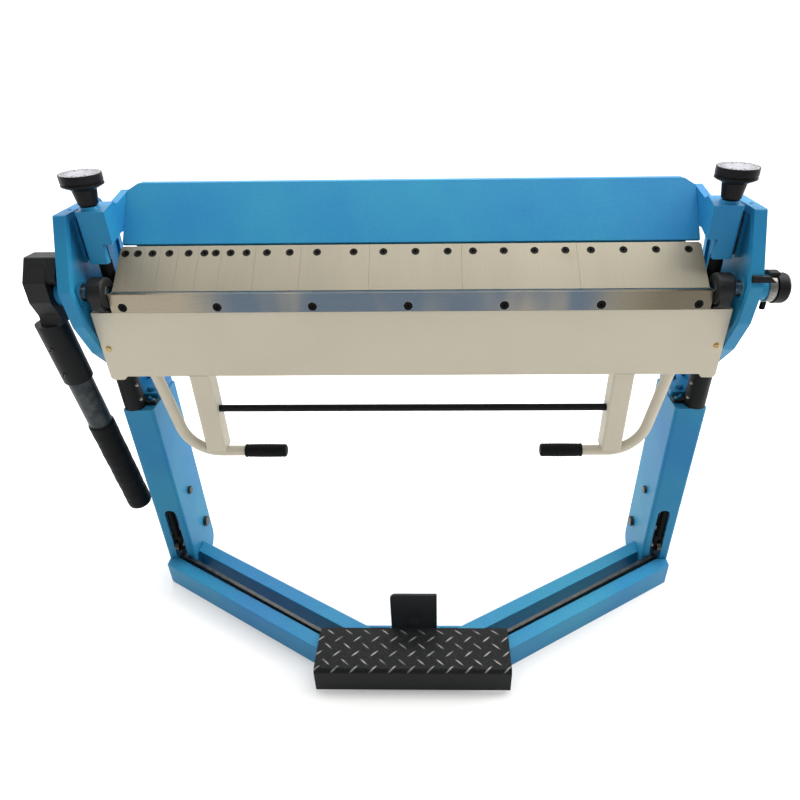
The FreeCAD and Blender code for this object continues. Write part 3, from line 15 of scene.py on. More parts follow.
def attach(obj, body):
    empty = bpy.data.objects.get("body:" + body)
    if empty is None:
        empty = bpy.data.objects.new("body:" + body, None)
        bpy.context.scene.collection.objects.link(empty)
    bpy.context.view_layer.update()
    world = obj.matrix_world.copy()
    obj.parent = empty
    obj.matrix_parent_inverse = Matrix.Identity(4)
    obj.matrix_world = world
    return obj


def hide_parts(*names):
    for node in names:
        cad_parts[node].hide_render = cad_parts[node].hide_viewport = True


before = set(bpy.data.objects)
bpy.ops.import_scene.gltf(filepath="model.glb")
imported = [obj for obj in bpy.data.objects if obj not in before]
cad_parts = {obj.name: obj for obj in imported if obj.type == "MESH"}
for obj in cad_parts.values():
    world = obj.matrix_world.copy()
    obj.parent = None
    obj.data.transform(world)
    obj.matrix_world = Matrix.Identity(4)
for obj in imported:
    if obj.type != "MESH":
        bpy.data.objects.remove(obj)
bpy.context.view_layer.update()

LOG = logging.getLogger("brake")
MILLIMETRE = 0.001
BEND_LINE = Vector((0.0, -95.0, 900.0))
KNOB_AXIS = (656.0, 49.0)
X_AXIS = Vector((1.0, 0.0, 0.0))
Y_AXIS = Vector((0.0, 1.0, 0.0))
Z_AXIS = Vector((0.0, 0.0, 1.0))

Colour = tuple[float, float, float]
Place = tuple[float, float, float]
Wave = Callable[[float], float]
Radius = float | Wave
Profile = list[tuple[Radius, float]]
Row = list[bmesh.types.BMVert]


def from_bend_line(point: Vector) -> Vector:
    """Move a point from millimetres off the bend line to metres in the machine's frame."""
    return (point + BEND_LINE) * MILLIMETRE


def grey(level: float) -> Colour:
    """Neutral colour of one level."""
    return (level, level, level)


class Side(Enum):
    """Left or right end of the machine, as the sign of X."""

    LEFT = -1
    RIGHT = 1

    def at(self, x: float, y: float, z: float) -> Vector:
        """Point on this side, in millimetres off the bend line."""
        return Vector((self.value * x, y, z))

    def outward(self) -> Vector:
        """Direction away from the machine's middle."""
        return X_AXIS * self.value


def put(name: str, data: bpy.types.ID) -> bpy.types.Object:
    """Put a new object with this data into the scene.

    Args:
        name: Name of the object.
        data: Its mesh, light or camera.

    Returns:
        The new object.
    """
    made = bpy.data.objects.new(name, data)
    bpy.context.scene.collection.objects.link(made)
    return made


# Shader arithmetic


@dataclass(frozen=True)
class Signal:
    """Output of a shader node that takes part in Python arithmetic."""

    bench: "ShaderBench"
    socket: bpy.types.NodeSocket | None

    def _join(self, operation: str, left: object, right: object) -> "Signal":
        """Combine two operands with the node that suits their kind.

        Args:
            operation: Name of the operation, as Math and Vector Math call it.
            left: First operand, a Signal or a number.
            right: Second operand, a Signal or a number.

        Returns:
            The result as a new Signal.
        """
        pair = (left, right)
        kinds = {o.socket.type for o in pair if isinstance(o, Signal)}
        if "RGBA" in kinds:
            return self.bench.blend(left, right, mode=operation)
        kind = "ShaderNodeMath"
        if "VECTOR" in kinds:
            kind = "ShaderNodeVectorMath"
            pair = tuple((o, o, o) if isinstance(o, (int, float)) else o for o in pair)
        return self.bench.node(kind, {"operation": operation}, dict(enumerate(pair)))

    def __add__(self, other: object) -> "Signal":
        """Sum."""
        return self._join("ADD", self, other)

    def __sub__(self, other: object) -> "Signal":
        """Difference."""
        return self._join("SUBTRACT", self, other)

    def __rsub__(self, other: object) -> "Signal":
        """Difference with a number on the left."""
        return self._join("SUBTRACT", other, self)

    def __mul__(self, other: object) -> "Signal":
        """Product."""
        return self._join("MULTIPLY", self, other)

    __radd__, __rmul__ = __add__, __mul__


class ShaderBench:
    """Node tree of one material or world, built from expressions."""

    def __init__(self, owner: bpy.types.Material | bpy.types.World) -> None:
        """Start with the owner's tree, emptied.

        Args:
            owner: Material or world that the tree belongs to.
        """
        self.owner = owner
        owner.use_nodes = True
        self.tree = owner.node_tree
        self.tree.nodes.clear()

    def node(self, kind: str, settings: dict[str, object] | None = None,
             inputs: dict[int | str, object] | None = None, output: int | str = 0) -> Signal:
        """Add one node.

        Args:
            kind: Blender's type name of the node.
            settings: Properties that are set before the sockets.
            inputs: Values or Signals for the sockets, by name or place.
            output: Name or place of the output that is wanted.

        Returns:
            The wanted output, which is empty for a node that ends the tree.
        """
        made = self.tree.nodes.new(kind)
        for key, value in (settings or {}).items():
            setattr(made, key, value)
        for key, value in (inputs or {}).items():
            if isinstance(value, Signal):
                self.tree.links.new(value.socket, made.inputs[key])
            else:
                made.inputs[key].default_value = value
        return Signal(self, made.outputs[output] if made.outputs else None)

    def blend(self, first: object, second: object, factor: object = 1.0, mode: str = "MIX") -> Signal:
        """Mix two colours.

        Args:
            first: Colour, number or Signal under the mix.
            second: Colour, number or Signal over it.
            factor: Strength of the mix, a number or a Signal.
            mode: Blend mode, such as MIX, MULTIPLY or ADD.

        Returns:
            The mixed colour.
        """
        inputs = {0: factor}
        for socket, value in ((6, first), (7, second)):
            if isinstance(value, (int, float)):
                value = grey(value)
            inputs[socket] = (*value, 1.0) if isinstance(value, tuple) else value
        return self.node("ShaderNodeMix", {"data_type": "RGBA", "blend_type": mode}, inputs, 2)

    def place(self, stretch: Colour = (1.0, 1.0, 1.0)) -> Signal:
        """Position on the object in metres, stretched along the axes."""
        point = self.node("ShaderNodeTexCoord", output="Object")
        return self.node("ShaderNodeVectorMath", {"operation": "MULTIPLY"}, {0: point, 1: stretch})

    def noise(self, per_metre: float, detail: float = 2.0, stretch: Colour = (1.0, 1.0, 1.0),
              roughness: float = 0.55) -> Signal:
        """Cloudy noise from 0 to 1.

        Args:
            per_metre: Patches in a metre.
            detail: Number of finer layers.
            stretch: Factor along each axis; a larger one makes finer patches.
            roughness: Strength of the finer layers.

        Returns:
            The noise.
        """
        sockets = {"Vector": self.place(stretch), "Scale": per_metre, "Detail": detail,
                   "Roughness": roughness}
        return self.node("ShaderNodeTexNoise", {"noise_dimensions": "3D"}, sockets, "Fac")

    def cells(self, per_metre: float) -> Signal:
        """Distance to the nearest of scattered points, from 0 up."""
        sockets = {"Vector": self.place(), "Scale": per_metre}
        return self.node("ShaderNodeTexVoronoi", {"feature": "F1"}, sockets, "Distance")

    def step(self, value: Signal, low: float, high: float) -> Signal:
        """Smooth step from 0 at low to 1 at high."""
        sockets = {"Value": value, "From Min": low, "From Max": high}
        return self.node("ShaderNodeMapRange", {"interpolation_type": "SMOOTHSTEP"}, sockets)

    def edges(self, reach: float) -> Signal:
        """Mask that is near 1 on sharp edges and 0 on flat faces.

        Args:
            reach: Distance in metres over which an edge shows.

        Returns:
            The mask.
        """
        normals = {0: self.node("ShaderNodeBevel", {"samples": 4}, {"Radius": reach}),
                   1: self.node("ShaderNodeNewGeometry", output="Normal")}
        same = self.node("ShaderNodeVectorMath", {"operation": "DOT_PRODUCT"}, normals, "Value")
        return self.step(1.0 - same, 0.02, 0.22)

    def upward(self) -> Signal:
        """How far a face looks up, from -1 to 1."""
        normal = self.node("ShaderNodeNewGeometry", output="Normal")
        return self.node("ShaderNodeSeparateXYZ", None, {0: normal}, "Z")

    def bump(self, height: Signal, depth: float, strength: float = 1.0) -> Signal:
        """Normal bent by a relief from 0 to 1 with a depth in metres."""
        sockets = {"Height": height, "Distance": depth, "Strength": strength}
        return self.node("ShaderNodeBump", None, sockets)

    def surface(self, **sockets: object) -> bpy.types.Material:
        """Close the tree with a Principled shader.

        Args:
            **sockets: Its sockets, with underscores for spaces.

        Returns:
            The finished material.
        """
        named = {key.replace("_", " "): value for key, value in sockets.items()}
        shader = self.node("ShaderNodeBsdfPrincipled", None, named)
        self.node("ShaderNodeOutputMaterial", None, {"Surface": shader})
        return self.owner


# Finishes


@dataclass(frozen=True)
class Enamel:
    """Sprayed enamel with a slight orange peel, worn edges painted lighter as a thin edge highlight, and
    settled dust.
    """

    name: str
    colour: Colour
    deep: Colour
    # Colour of worn edges, lighter than the paint, so it also paints a thin highlight along them.
    edge: Colour
    roughness: float = 0.42
    coat: float = 0.03
    peel: float = 0.00014
    peel_per_metre: float = 420.0
    dust: float = 0.04
    wear: float = 0.35
    cast_grain: float = 0.0
    shine: float = 0.13
    settled: Colour = (0.78, 0.80, 0.80)

    def material(self) -> bpy.types.Material:
        """Build the enamel's material.

        Returns:
            The finished material.
        """
        bench = ShaderBench(bpy.data.materials.new(self.name))
        clouds = bench.step(bench.noise(3.2, 3.0), 0.25, 0.75)
        colour = bench.blend(self.deep, self.colour, clouds)
        specks = bench.step(bench.noise(240.0, 2.0), 0.35, 0.85)
        # Worn edges mixed towards the lighter edge colour: partly real wear, partly a painted highlight along
        # the edges.
        worn = bench.edges(0.0016) * bench.step(bench.noise(38.0, 3.0), 0.42, 0.72) * self.wear
        colour = bench.blend(colour, self.edge, worn)
        dusty = bench.step(bench.upward(), 0.35, 1.0) * specks * self.dust
        colour = bench.blend(colour, self.settled, dusty)
        relief = bench.noise(self.peel_per_metre, 1.0)
        if self.cast_grain:
            relief = relief + bench.noise(900.0, 3.0) * self.cast_grain
        rough = self.roughness + bench.noise(11.0, 3.0) * 0.14 - 0.07 + dusty * 0.5
        return bench.surface(Base_Color=colour, Roughness=rough, Specular_IOR_Level=self.shine,
                             Coat_Weight=self.coat, Coat_Roughness=0.12, Normal=bench.bump(relief, self.peel))


@dataclass(frozen=True)
class GroundSteel:
    """Ground steel with fine lines, broad dark bands of painted reflection, a painted highlight along its
    edges, and stains.
    """

    name: str
    light: Colour
    # Colour of the broad bands of painted reflection.
    dark: Colour
    roughness: float
    lines: Colour
    lines_per_metre: float = 420.0
    metal: float = 1.0
    bands: Colour = (3.0, 3.0, 3.0)
    band_share: float = 0.6
    stain: Colour = (0.22, 0.17, 0.11)
    stain_share: float = 0.25
    relief: float = 0.00006
    edge_highlight_share: float = 0.5
    band_low: float = 0.34
    band_high: float = 0.68
    plain_from: float = 0.0
    right_end_tint: Colour = (0.098, 0.086, 0.062)
    # Colour of the painted highlight along the edges.
    bright: Colour = (0.86, 0.85, 0.82)

    def material(self) -> bpy.types.Material:
        """Build the ground steel's material.

        Returns:
            The finished material.
        """
        bench = ShaderBench(bpy.data.materials.new(self.name))
        # Broad dark bands are painted reflections; on the bending bar they carry the blue tint of the machine
        # round it.
        reflection_band = bench.step(bench.noise(1.0, 3.0, self.bands), self.band_low, self.band_high)
        if self.plain_from:
            across = bench.node("ShaderNodeSeparateXYZ", None, {0: bench.place()}, "X")
            outer = bench.node("ShaderNodeMath", {"operation": "ABSOLUTE"}, {0: across})
            reflection_band = reflection_band * (1.0 - bench.step(outer, self.plain_from, self.plain_from + 0.14))
        colour = bench.blend(self.light, self.dark, reflection_band * self.band_share)
        if self.plain_from:
            # Darker brown towards the right end of the bar.
            toward_right_end = bench.step(across, self.plain_from - 0.02, self.plain_from + 0.20)
            colour = bench.blend(colour, self.right_end_tint, toward_right_end * 0.9)
        line = bench.noise(self.lines_per_metre, 3.0, self.lines, 0.7)
        drawn = bench.blend((0.84, 0.84, 0.84), (1.08, 1.07, 1.05), line)
        colour = bench.blend(colour, drawn, mode="MULTIPLY")
        stained = bench.step(bench.noise(14.0, 5.0, roughness=0.65), 0.58, 0.82) * self.stain_share
        colour = bench.blend(colour, self.stain, stained)
        # Painted highlight along the sharp edges.
        colour = bench.blend(colour, self.bright, bench.edges(0.0012) * self.edge_highlight_share)
        rough = self.roughness + line * 0.16 - 0.08 + stained * 0.4
        return bench.surface(Base_Color=colour, Metallic=self.metal, Roughness=rough,
                             Normal=bench.bump(line, self.relief, 0.6))


@dataclass(frozen=True)
class RoughMetal:
    """Turned, plated or blackened metal with blotches, fine grain and bright edges."""

    name: str
    colour: Colour
    blotch: Colour
    edge: Colour
    roughness: float
    metal: float = 1.0
    grain_per_metre: float = 800.0
    grain: float = 0.00008
    blotches_per_metre: float = 60.0
    wear: float = 0.6
    shine: float = 0.5

    def material(self) -> bpy.types.Material:
        """Build the metal's material.

        Returns:
            The finished material.
        """
        bench = ShaderBench(bpy.data.materials.new(self.name))
        blotch = bench.step(bench.noise(self.blotches_per_metre, 4.0, roughness=0.62), 0.38, 0.68)
        colour = bench.blend(self.colour, self.blotch, blotch)
        worn = bench.edges(0.0010) * bench.step(bench.noise(70.0, 3.0), 0.3, 0.62) * self.wear
        colour = bench.blend(colour, self.edge, worn)
        grain = bench.noise(self.grain_per_metre, 3.0)
        rough = self.roughness + blotch * 0.12 + grain * 0.10 - 0.10
        return bench.surface(Base_Color=colour, Metallic=self.metal, Roughness=rough,
                             Specular_IOR_Level=self.shine, Normal=bench.bump(grain, self.grain))


@dataclass(frozen=True)
class SoftGrip:
    """Rubber or moulded plastic with a leathery grain and a dry bloom."""

    name: str
    colour: Colour
    bloom: Colour
    roughness: float
    grain_per_metre: float = 650.0
    grain: float = 0.00022
    bloom_share: float = 0.35
    shine: float = 0.09

    def material(self) -> bpy.types.Material:
        """Build the rubber's or plastic's material.

        Returns:
            The finished material.
        """
        bench = ShaderBench(bpy.data.materials.new(self.name))
        cloud = bench.step(bench.noise(34.0, 5.0, roughness=0.62), 0.45, 0.8) * self.bloom_share
        colour = bench.blend(self.colour, self.bloom, cloud)
        colour = bench.blend(colour, self.bloom, bench.edges(0.0014) * 0.35)
        grain = bench.cells(self.grain_per_metre) + bench.noise(1500.0, 2.0) * 0.4
        rough = self.roughness + cloud * 0.2
        return bench.surface(Base_Color=colour, Roughness=rough, Specular_IOR_Level=self.shine,
                             Normal=bench.bump(grain, self.grain))


@dataclass(frozen=True)
class TreadBlack:
    """Black enamel of the tread bars, rubbed bright along the crests by shoes."""

    name: str
    colour: Colour
    crest: Colour
    share: float = 0.8

    def material(self) -> bpy.types.Material:
        """Build the tread bars' material.

        Returns:
            The finished material.
        """
        bench = ShaderBench(bpy.data.materials.new(self.name))
        crest = bench.node("ShaderNodeAttribute", {"attribute_name": "crest"}, output="Fac")
        scuffs = bench.step(bench.noise(45.0, 4.0), 0.25, 0.55)
        rubbed = bench.step(crest, 0.55, 0.95) * scuffs * self.share
        colour = bench.blend(self.colour, self.crest, rubbed)
        return bench.surface(Base_Color=colour, Metallic=rubbed * 0.9, Roughness=0.42 - rubbed * 0.14,
                             Normal=bench.bump(bench.noise(700.0, 2.0), 0.00012))


@dataclass(frozen=True)
class DialFace:
    """Bright turned disc with fine rings about its own axis."""

    name: str
    colour: Colour
    centre: Vector
    patch: Colour = (0.36, 0.37, 0.42)
    rings_per_metre: float = 1500.0

    def material(self) -> bpy.types.Material:
        """Build the disc's material.

        Returns:
            The finished material.
        """
        bench = ShaderBench(bpy.data.materials.new(self.name))
        middle = from_bend_line(self.centre)
        away = (bench.place() - (middle.x, middle.y, middle.z)) * (1.0, 1.0, 0.0)
        radius = bench.node("ShaderNodeVectorMath", {"operation": "LENGTH"}, {0: away}, "Value")
        turned = bench.node("ShaderNodeMath", {"operation": "SINE"}, {0: radius * self.rings_per_metre})
        patch = bench.step(bench.noise(60.0, 4.0), 0.4, 0.75)
        colour = bench.blend(self.colour, self.patch, patch * 0.6)
        return bench.surface(Base_Color=colour, Metallic=0.55, Roughness=0.38 + patch * 0.15,
                             Normal=bench.bump(turned, 0.00003))


class Finish(Enum):
    """Every finish of the machine."""

    BLUE = Enamel("blue_enamel", (0.023, 0.216, 0.352), (0.014, 0.158, 0.358), (0.14, 0.40, 0.60))
    BLUE_CAST = Enamel(
        "blue_cast_enamel", (0.021, 0.206, 0.348), (0.013, 0.146, 0.348), (0.14, 0.40, 0.60),
        roughness=0.38, peel=0.0004, peel_per_metre=230.0, cast_grain=0.5)
    BEIGE = Enamel("beige_enamel", (0.560, 0.514, 0.413), (0.520, 0.474, 0.373), (0.68, 0.64, 0.55),
                   roughness=0.52, coat=0.05)
    BLACK = Enamel("black_enamel", (0.0060, 0.0068, 0.0075), (0.0045, 0.0052, 0.0058), grey(0.10),
                   roughness=0.46, coat=0.0, dust=0.02, wear=0.5, shine=0.12)
    BLACK_CAST = Enamel(
        "black_cast_enamel", (0.0065, 0.0070, 0.0075), (0.0045, 0.0050, 0.0055), grey(0.12),
        roughness=0.46, peel=0.0007, peel_per_metre=180.0, dust=0.02, wear=0.8, cast_grain=0.6, shine=0.20)
    # Lighter copy of the black enamel for the latch plate, painted lighter to make up for the shade that
    # falls on it.
    BLACK_SATIN = Enamel("black_satin", (0.018, 0.021, 0.023), (0.014, 0.016, 0.018), grey(0.12),
                         roughness=0.50, coat=0.0, dust=0.02, wear=0.4, shine=0.2)
    FINGER_STEEL = GroundSteel(
        "finger_steel", (0.225, 0.206, 0.158), (0.188, 0.172, 0.132), 0.50, (1.0, 0.03, 0.03),
        metal=0.45, bands=(5.0, 1.2, 1.2), edge_highlight_share=0.1)
    # The bar's blue-grey dark colour is a painted reflection of the blue machine.
    BAR_STEEL = GroundSteel(
        "bar_steel", (0.270, 0.238, 0.180), (0.070, 0.105, 0.150), 0.28, (0.02, 1.0, 1.0),
        bands=(5.0, 2.0, 2.0), band_share=0.9, band_low=0.26, band_high=0.54, plain_from=0.36)
    SHAFT_STEEL = GroundSteel("shaft_steel", grey(0.50), (0.40, 0.40, 0.41), 0.22, (1.0, 0.05, 0.05))
    DARK_STEEL = RoughMetal("dark_steel", (0.050, 0.052, 0.052), (0.085, 0.080, 0.072),
                            (0.36, 0.35, 0.33), 0.42)
    PIPE_STEEL = RoughMetal("scuffed_pipe", (0.022, 0.028, 0.031), (0.055, 0.060, 0.060),
                            (0.22, 0.22, 0.21), 0.50, blotches_per_metre=42.0, metal=0.8)
    BOLT_STEEL = RoughMetal("blackened_steel", grey(0.004), (0.007, 0.007, 0.006),
                            (0.05, 0.05, 0.045), 0.62, metal=0.1, shine=0.08)
    ZINC = RoughMetal("zinc_plate", (0.58, 0.58, 0.55), (0.46, 0.45, 0.40), (0.75, 0.75, 0.72), 0.30)
    BRASS = RoughMetal("brass", (0.52, 0.40, 0.19), (0.40, 0.29, 0.13), (0.78, 0.66, 0.40), 0.30)
    BRONZE = RoughMetal("bronze", (0.080, 0.055, 0.032), (0.050, 0.035, 0.022), (0.22, 0.15, 0.08), 0.42)
    SILVER = RoughMetal("turned_silver", (0.26, 0.25, 0.23), (0.18, 0.175, 0.16), (0.55, 0.54, 0.51), 0.34,
                        grain_per_metre=1500.0)
    INK = RoughMetal("scale_ink", (0.015, 0.015, 0.016), grey(0.03), grey(0.05), 0.5, metal=0.0)
    RUBBER = SoftGrip("black_rubber", (0.0050, 0.0055, 0.0060), (0.018, 0.019, 0.020), 0.62)
    PLASTIC = SoftGrip("black_plastic", (0.007, 0.007, 0.008), (0.022, 0.022, 0.024), 0.36,
                       grain=0.00008, bloom_share=0.2)
    TREAD = TreadBlack("tread_bars", (0.008, 0.008, 0.009), (0.34, 0.33, 0.31))
    DIAL_LEFT = DialFace("left_disc", (0.28, 0.28, 0.31), Side.LEFT.at(*KNOB_AXIS, 236.0))
    DIAL_RIGHT = DialFace("right_disc", (0.28, 0.28, 0.31), Side.RIGHT.at(*KNOB_AXIS, 236.0))

    @cache
    def material(self) -> bpy.types.Material:
        """Give the finish's material, built at its first use."""
        return self.value.material()


# Mesh tools


def hexagon(across_flats: float) -> Wave:
    """Radius of a hexagon at an angle, for a ring with 36 or more points."""
    half = math.pi / 6
    return lambda angle: across_flats / 2 / math.cos((angle + half) % (2 * half) - half)


def fluted(radius: float, depth: float, count: int) -> Wave:
    """Radius of a knurled or fluted round at an angle."""
    return lambda angle: radius - depth * (0.5 - 0.5 * math.cos(count * angle))


def angles(count: int, steps: int) -> list[float]:
    """Angles of the first points on a round that takes so many steps."""
    return [2 * math.pi * i / steps for i in range(count)]


def heading(angle: float) -> Vector:
    """Direction at an angle round the Z axis."""
    return Vector((math.cos(angle), math.sin(angle), 0))


class Form:
    """Mesh in the making, in millimetres off the bend line."""

    def __init__(self) -> None:
        """Start with no geometry."""
        self.mesh = bmesh.new()
        self.crest = self.mesh.verts.layers.float.new("crest")

    def vert(self, point: Vector) -> bmesh.types.BMVert:
        """Add one point."""
        return self.mesh.verts.new(from_bend_line(point))

    def ring(self, centre: Vector, side: Vector, other: Vector, radius: Radius, steps: int) -> Row:
        """Add a closed ring of points.

        Args:
            centre: Middle of the ring.
            side: Direction of the ring's first point.
            other: Direction a quarter turn on.
            radius: Radius, or a function of the angle.
            steps: Number of points.

        Returns:
            The new points in order.
        """
        points = []
        for angle in angles(steps, steps):
            reach = radius(angle) if callable(radius) else radius
            across = side * (reach * math.cos(angle))
            points.append(self.vert(centre + across + other * (reach * math.sin(angle))))
        return points

    def bridge(self, *rows: Row, closed: bool = True) -> None:
        """Join each row of points to the next with faces; a row of one point is a pole.

        Args:
            *rows: Rows of points, in order.
            closed: Whether the rows run all the way round.
        """
        for lower, upper in zip(rows, rows[1:]):
            count = max(len(lower), len(upper))
            for i in range(count if closed else count - 1):
                j = (i + 1) % count
                if len(lower) == 1:
                    corners = (lower[0], upper[j], upper[i])
                elif len(upper) == 1:
                    corners = (lower[i], lower[j], upper[0])
                else:
                    corners = (lower[i], lower[j], upper[j], upper[i])
                self.mesh.faces.new(corners)

    def mark(self, base: Vector, axes: tuple[Vector, Vector, Vector], span: tuple[float, float],
             half: float, heights: tuple[float, float]) -> None:
        """Add a thin graduation mark on a surface.

        Args:
            base: Point that the spans and heights start from.
            axes: Directions along the mark, across it and off the surface.
            span: Where the mark starts and ends along its own direction.
            half: Half of its width.
            heights: Its bottom and top off the surface.
        """
        along, across, up = axes
        first, last = along * span[0], along * span[1]
        corners = [first - across * half, last - across * half, last + across * half, first + across * half]
        low, high = ([self.vert(base + c + up * height) for c in corners] for height in heights)
        self.bridge(low, high)
        self.mesh.faces.new(high)
        self.mesh.faces.new(reversed(low))

    def turn(self, profile: Profile, base: Vector, axis: Vector, steps: int = 36,
             looped: bool = False) -> None:
        """Turn a profile about an axis.

        Args:
            profile: Pairs of radius and height; a radius of 0 is a pole.
            base: Point on the axis at height 0.
            axis: Direction of the axis.
            steps: Points round the axis.
            looped: Whether the profile's end joins its start, as a washer's does.
        """
        axis = axis.normalized()
        side = X_AXIS if abs(axis.z) > 0.9 else axis.orthogonal().normalized()
        other = axis.cross(side).normalized()
        rows = []
        for radius, height in profile:
            centre = base + axis * height
            rows.append(self.ring(centre, side, other, radius, steps) if radius else [self.vert(centre)])
        if looped:
            rows.append(rows[0])
        self.bridge(*rows)

    def sweep(self, path: Sequence[Vector], radius: Callable[[int], float], steps: int = 8) -> None:
        """Draw a round bead along a path with closed ends.

        Args:
            path: Points along the bead.
            radius: Radius at each point, by its place in the path.
            steps: Points round the bead.
        """
        rows = []
        for i, point in enumerate(path):
            ahead = path[min(i + 1, len(path) - 1)] - path[max(i - 1, 0)]
            side = ahead.cross(Z_AXIS if abs(ahead.normalized().z) < 0.9 else X_AXIS).normalized()
            other = ahead.cross(side).normalized()
            rows.append(self.ring(point, side, other, radius(i), steps))
        self.bridge(*rows)
        self.mesh.faces.new(reversed(rows[0]))
        self.mesh.faces.new(rows[-1])

    def build(self, name: str, finish: Finish, body: str, slot: str,
              smooth: float = 35.0) -> bpy.types.Object:
        """Make the mesh a piece of the machine.

        Args:
            name: Name of the piece.
            finish: Its finish.
            body: Body that it rides on.
            slot: Material slot of the record; not used.
            smooth: Edges flatter than this many degrees are shaded smooth.

        Returns:
            The new object.
        """
        bmesh.ops.recalc_face_normals(self.mesh, faces=self.mesh.faces)
        limit = math.radians(smooth)
        for face in self.mesh.faces:
            face.smooth = True
        for edge in self.mesh.edges:
            edge.smooth = len(edge.link_faces) == 2 and edge.calc_face_angle(0.0) < limit
        data = bpy.data.meshes.new(name)
        self.mesh.to_mesh(data)
        self.mesh.free()
        data.materials.append(finish.material())
        piece = put(name, data)
        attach(piece, body)
        LOG.info("piece %s: %d faces on %s", name, len(data.polygons), body)
        return piece


# CAD nodes


def by_name(groups: dict[object, str]) -> dict[str, object]:
    """Give each name in the groups its group's value."""
    return {name: value for value, names in groups.items() for name in names.split()}


@dataclass
class BareMetalwork:
    """Carried-over CAD nodes: each gets its own or its slot's finish, and softened edges."""

    finishes: dict[Finish, str] = field(default_factory=lambda: {
        Finish.BLUE: "blue_paint",
        Finish.BLUE_CAST: "side_frame_left side_frame_right end_blocks",
        Finish.BEIGE: "beige_paint",
        Finish.BLACK: "black_paint",
        Finish.BLACK_CAST: "hinge_blocks lever_head",
        Finish.BLACK_SATIN: "latch_plate",
        Finish.FINGER_STEEL: "finger_steel",
        Finish.BAR_STEEL: "bending_bar",
        Finish.SHAFT_STEEL: "bar_steel",
        Finish.DARK_STEEL: "dark_steel treadle_pivot_bolts spring_anchor_bolts",
        Finish.PIPE_STEEL: "lever_pipe",
        Finish.BOLT_STEEL: "bolt_steel pull_rods",
        Finish.ZINC: "zinc",
        Finish.BRONZE: "bronze",
        Finish.SILVER: "silver",
        Finish.RUBBER: "black_rubber",
        Finish.PLASTIC: "black_plastic"})
    rounding: dict[float, str] = field(default_factory=lambda: {
        2.4: "lever_head",
        2.2: "side_frame_left side_frame_right hinge_blocks",
        2.0: "front_base_tubes rear_base_tubes base_cross_tube",
        1.8: "end_blocks",
        1.2: "rear_tie_beam bed_end_brackets",
        1.0: "clamp_beam_box lever_socket",
        0.9: "leg_left leg_right",
        0.8: "bed_beam latch_plate latch_bracket",
        0.7: "apron_panel handle_struts pedal_plate",
        0.6: "finger_seat_bar treadle_arms rod_guides",
        0.5: "bar_seat_rail angle_pointer treadle_pivot_bolts",
        0.4: "beam_guides pull_rods spring_anchor_bolts",
        0.25: "bending_bar"})
    finger_rounding: float = 0.10
    weld_reach: float = 0.005
    flat_within: float = 0.6
    sharp_from: float = 32.0

    def dress(self) -> None:
        """Give every node its finish and soften its edges."""
        smoother = self._smoother()
        finishes, widths = by_name(self.finishes), by_name(self.rounding)
        for name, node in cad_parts.items():
            for slot in node.material_slots:
                slot.material = (finishes.get(name) or finishes[slot.material.name]).material()
            width = widths.get(name, self.finger_rounding if name.startswith("finger_") else 0.0)
            self._modify(node, "weld", "WELD", merge_threshold=self.weld_reach * MILLIMETRE)
            if width and name != "finger_screws":
                self._modify(node, "flat", "DECIMATE", decimate_type="DISSOLVE",
                             angle_limit=math.radians(self.flat_within))
                self._modify(node, "edges", "BEVEL", width=width * MILLIMETRE, segments=2,
                             limit_method="ANGLE", angle_limit=math.radians(self.sharp_from),
                             use_clamp_overlap=True, miter_outer="MITER_ARC")
            self._modify(node, "smooth", "NODES", node_group=smoother)
            self._modify(node, "flatten", "WEIGHTED_NORMAL", keep_sharp=True, weight=80)

    @staticmethod
    def _modify(node: bpy.types.Object, name: str, kind: str, **settings: object) -> None:
        """Add one modifier with its settings.

        Args:
            node: Object that takes it.
            name: Name of the modifier.
            kind: Blender's type name of it.
            **settings: Its properties.
        """
        modifier = node.modifiers.new(name, kind)
        for key, value in settings.items():
            setattr(modifier, key, value)

    def _smoother(self) -> bpy.types.NodeTree:
        """Build the node group that shades gentle edges smooth and leaves the others sharp.

        Returns:
            The node group.
        """
        tree = bpy.data.node_groups.new("smooth_by_angle", "GeometryNodeTree")
        for way in ("INPUT", "OUTPUT"):
            tree.interface.new_socket("Geometry", in_out=way, socket_type="NodeSocketGeometry")
        start, end, faces, edges, angle, compare = (tree.nodes.new(kind) for kind in (
            "NodeGroupInput", "NodeGroupOutput", "GeometryNodeSetShadeSmooth", "GeometryNodeSetShadeSmooth",
            "GeometryNodeInputMeshEdgeAngle", "FunctionNodeCompare"))
        faces.domain = "FACE"
        edges.domain = "EDGE"
        edges.inputs["Shade Smooth"].default_value = False
        compare.operation = "GREATER_THAN"
        compare.inputs[1].default_value = math.radians(self.sharp_from)
        link = tree.links.new
        link(start.outputs[0], faces.inputs["Geometry"])
        link(faces.outputs[0], edges.inputs["Geometry"])
        link(angle.outputs["Unsigned Angle"], compare.inputs[0])
        link(compare.outputs[0], edges.inputs["Selection"])
        link(edges.outputs[0], end.inputs[0])
        return tree


# Fasteners


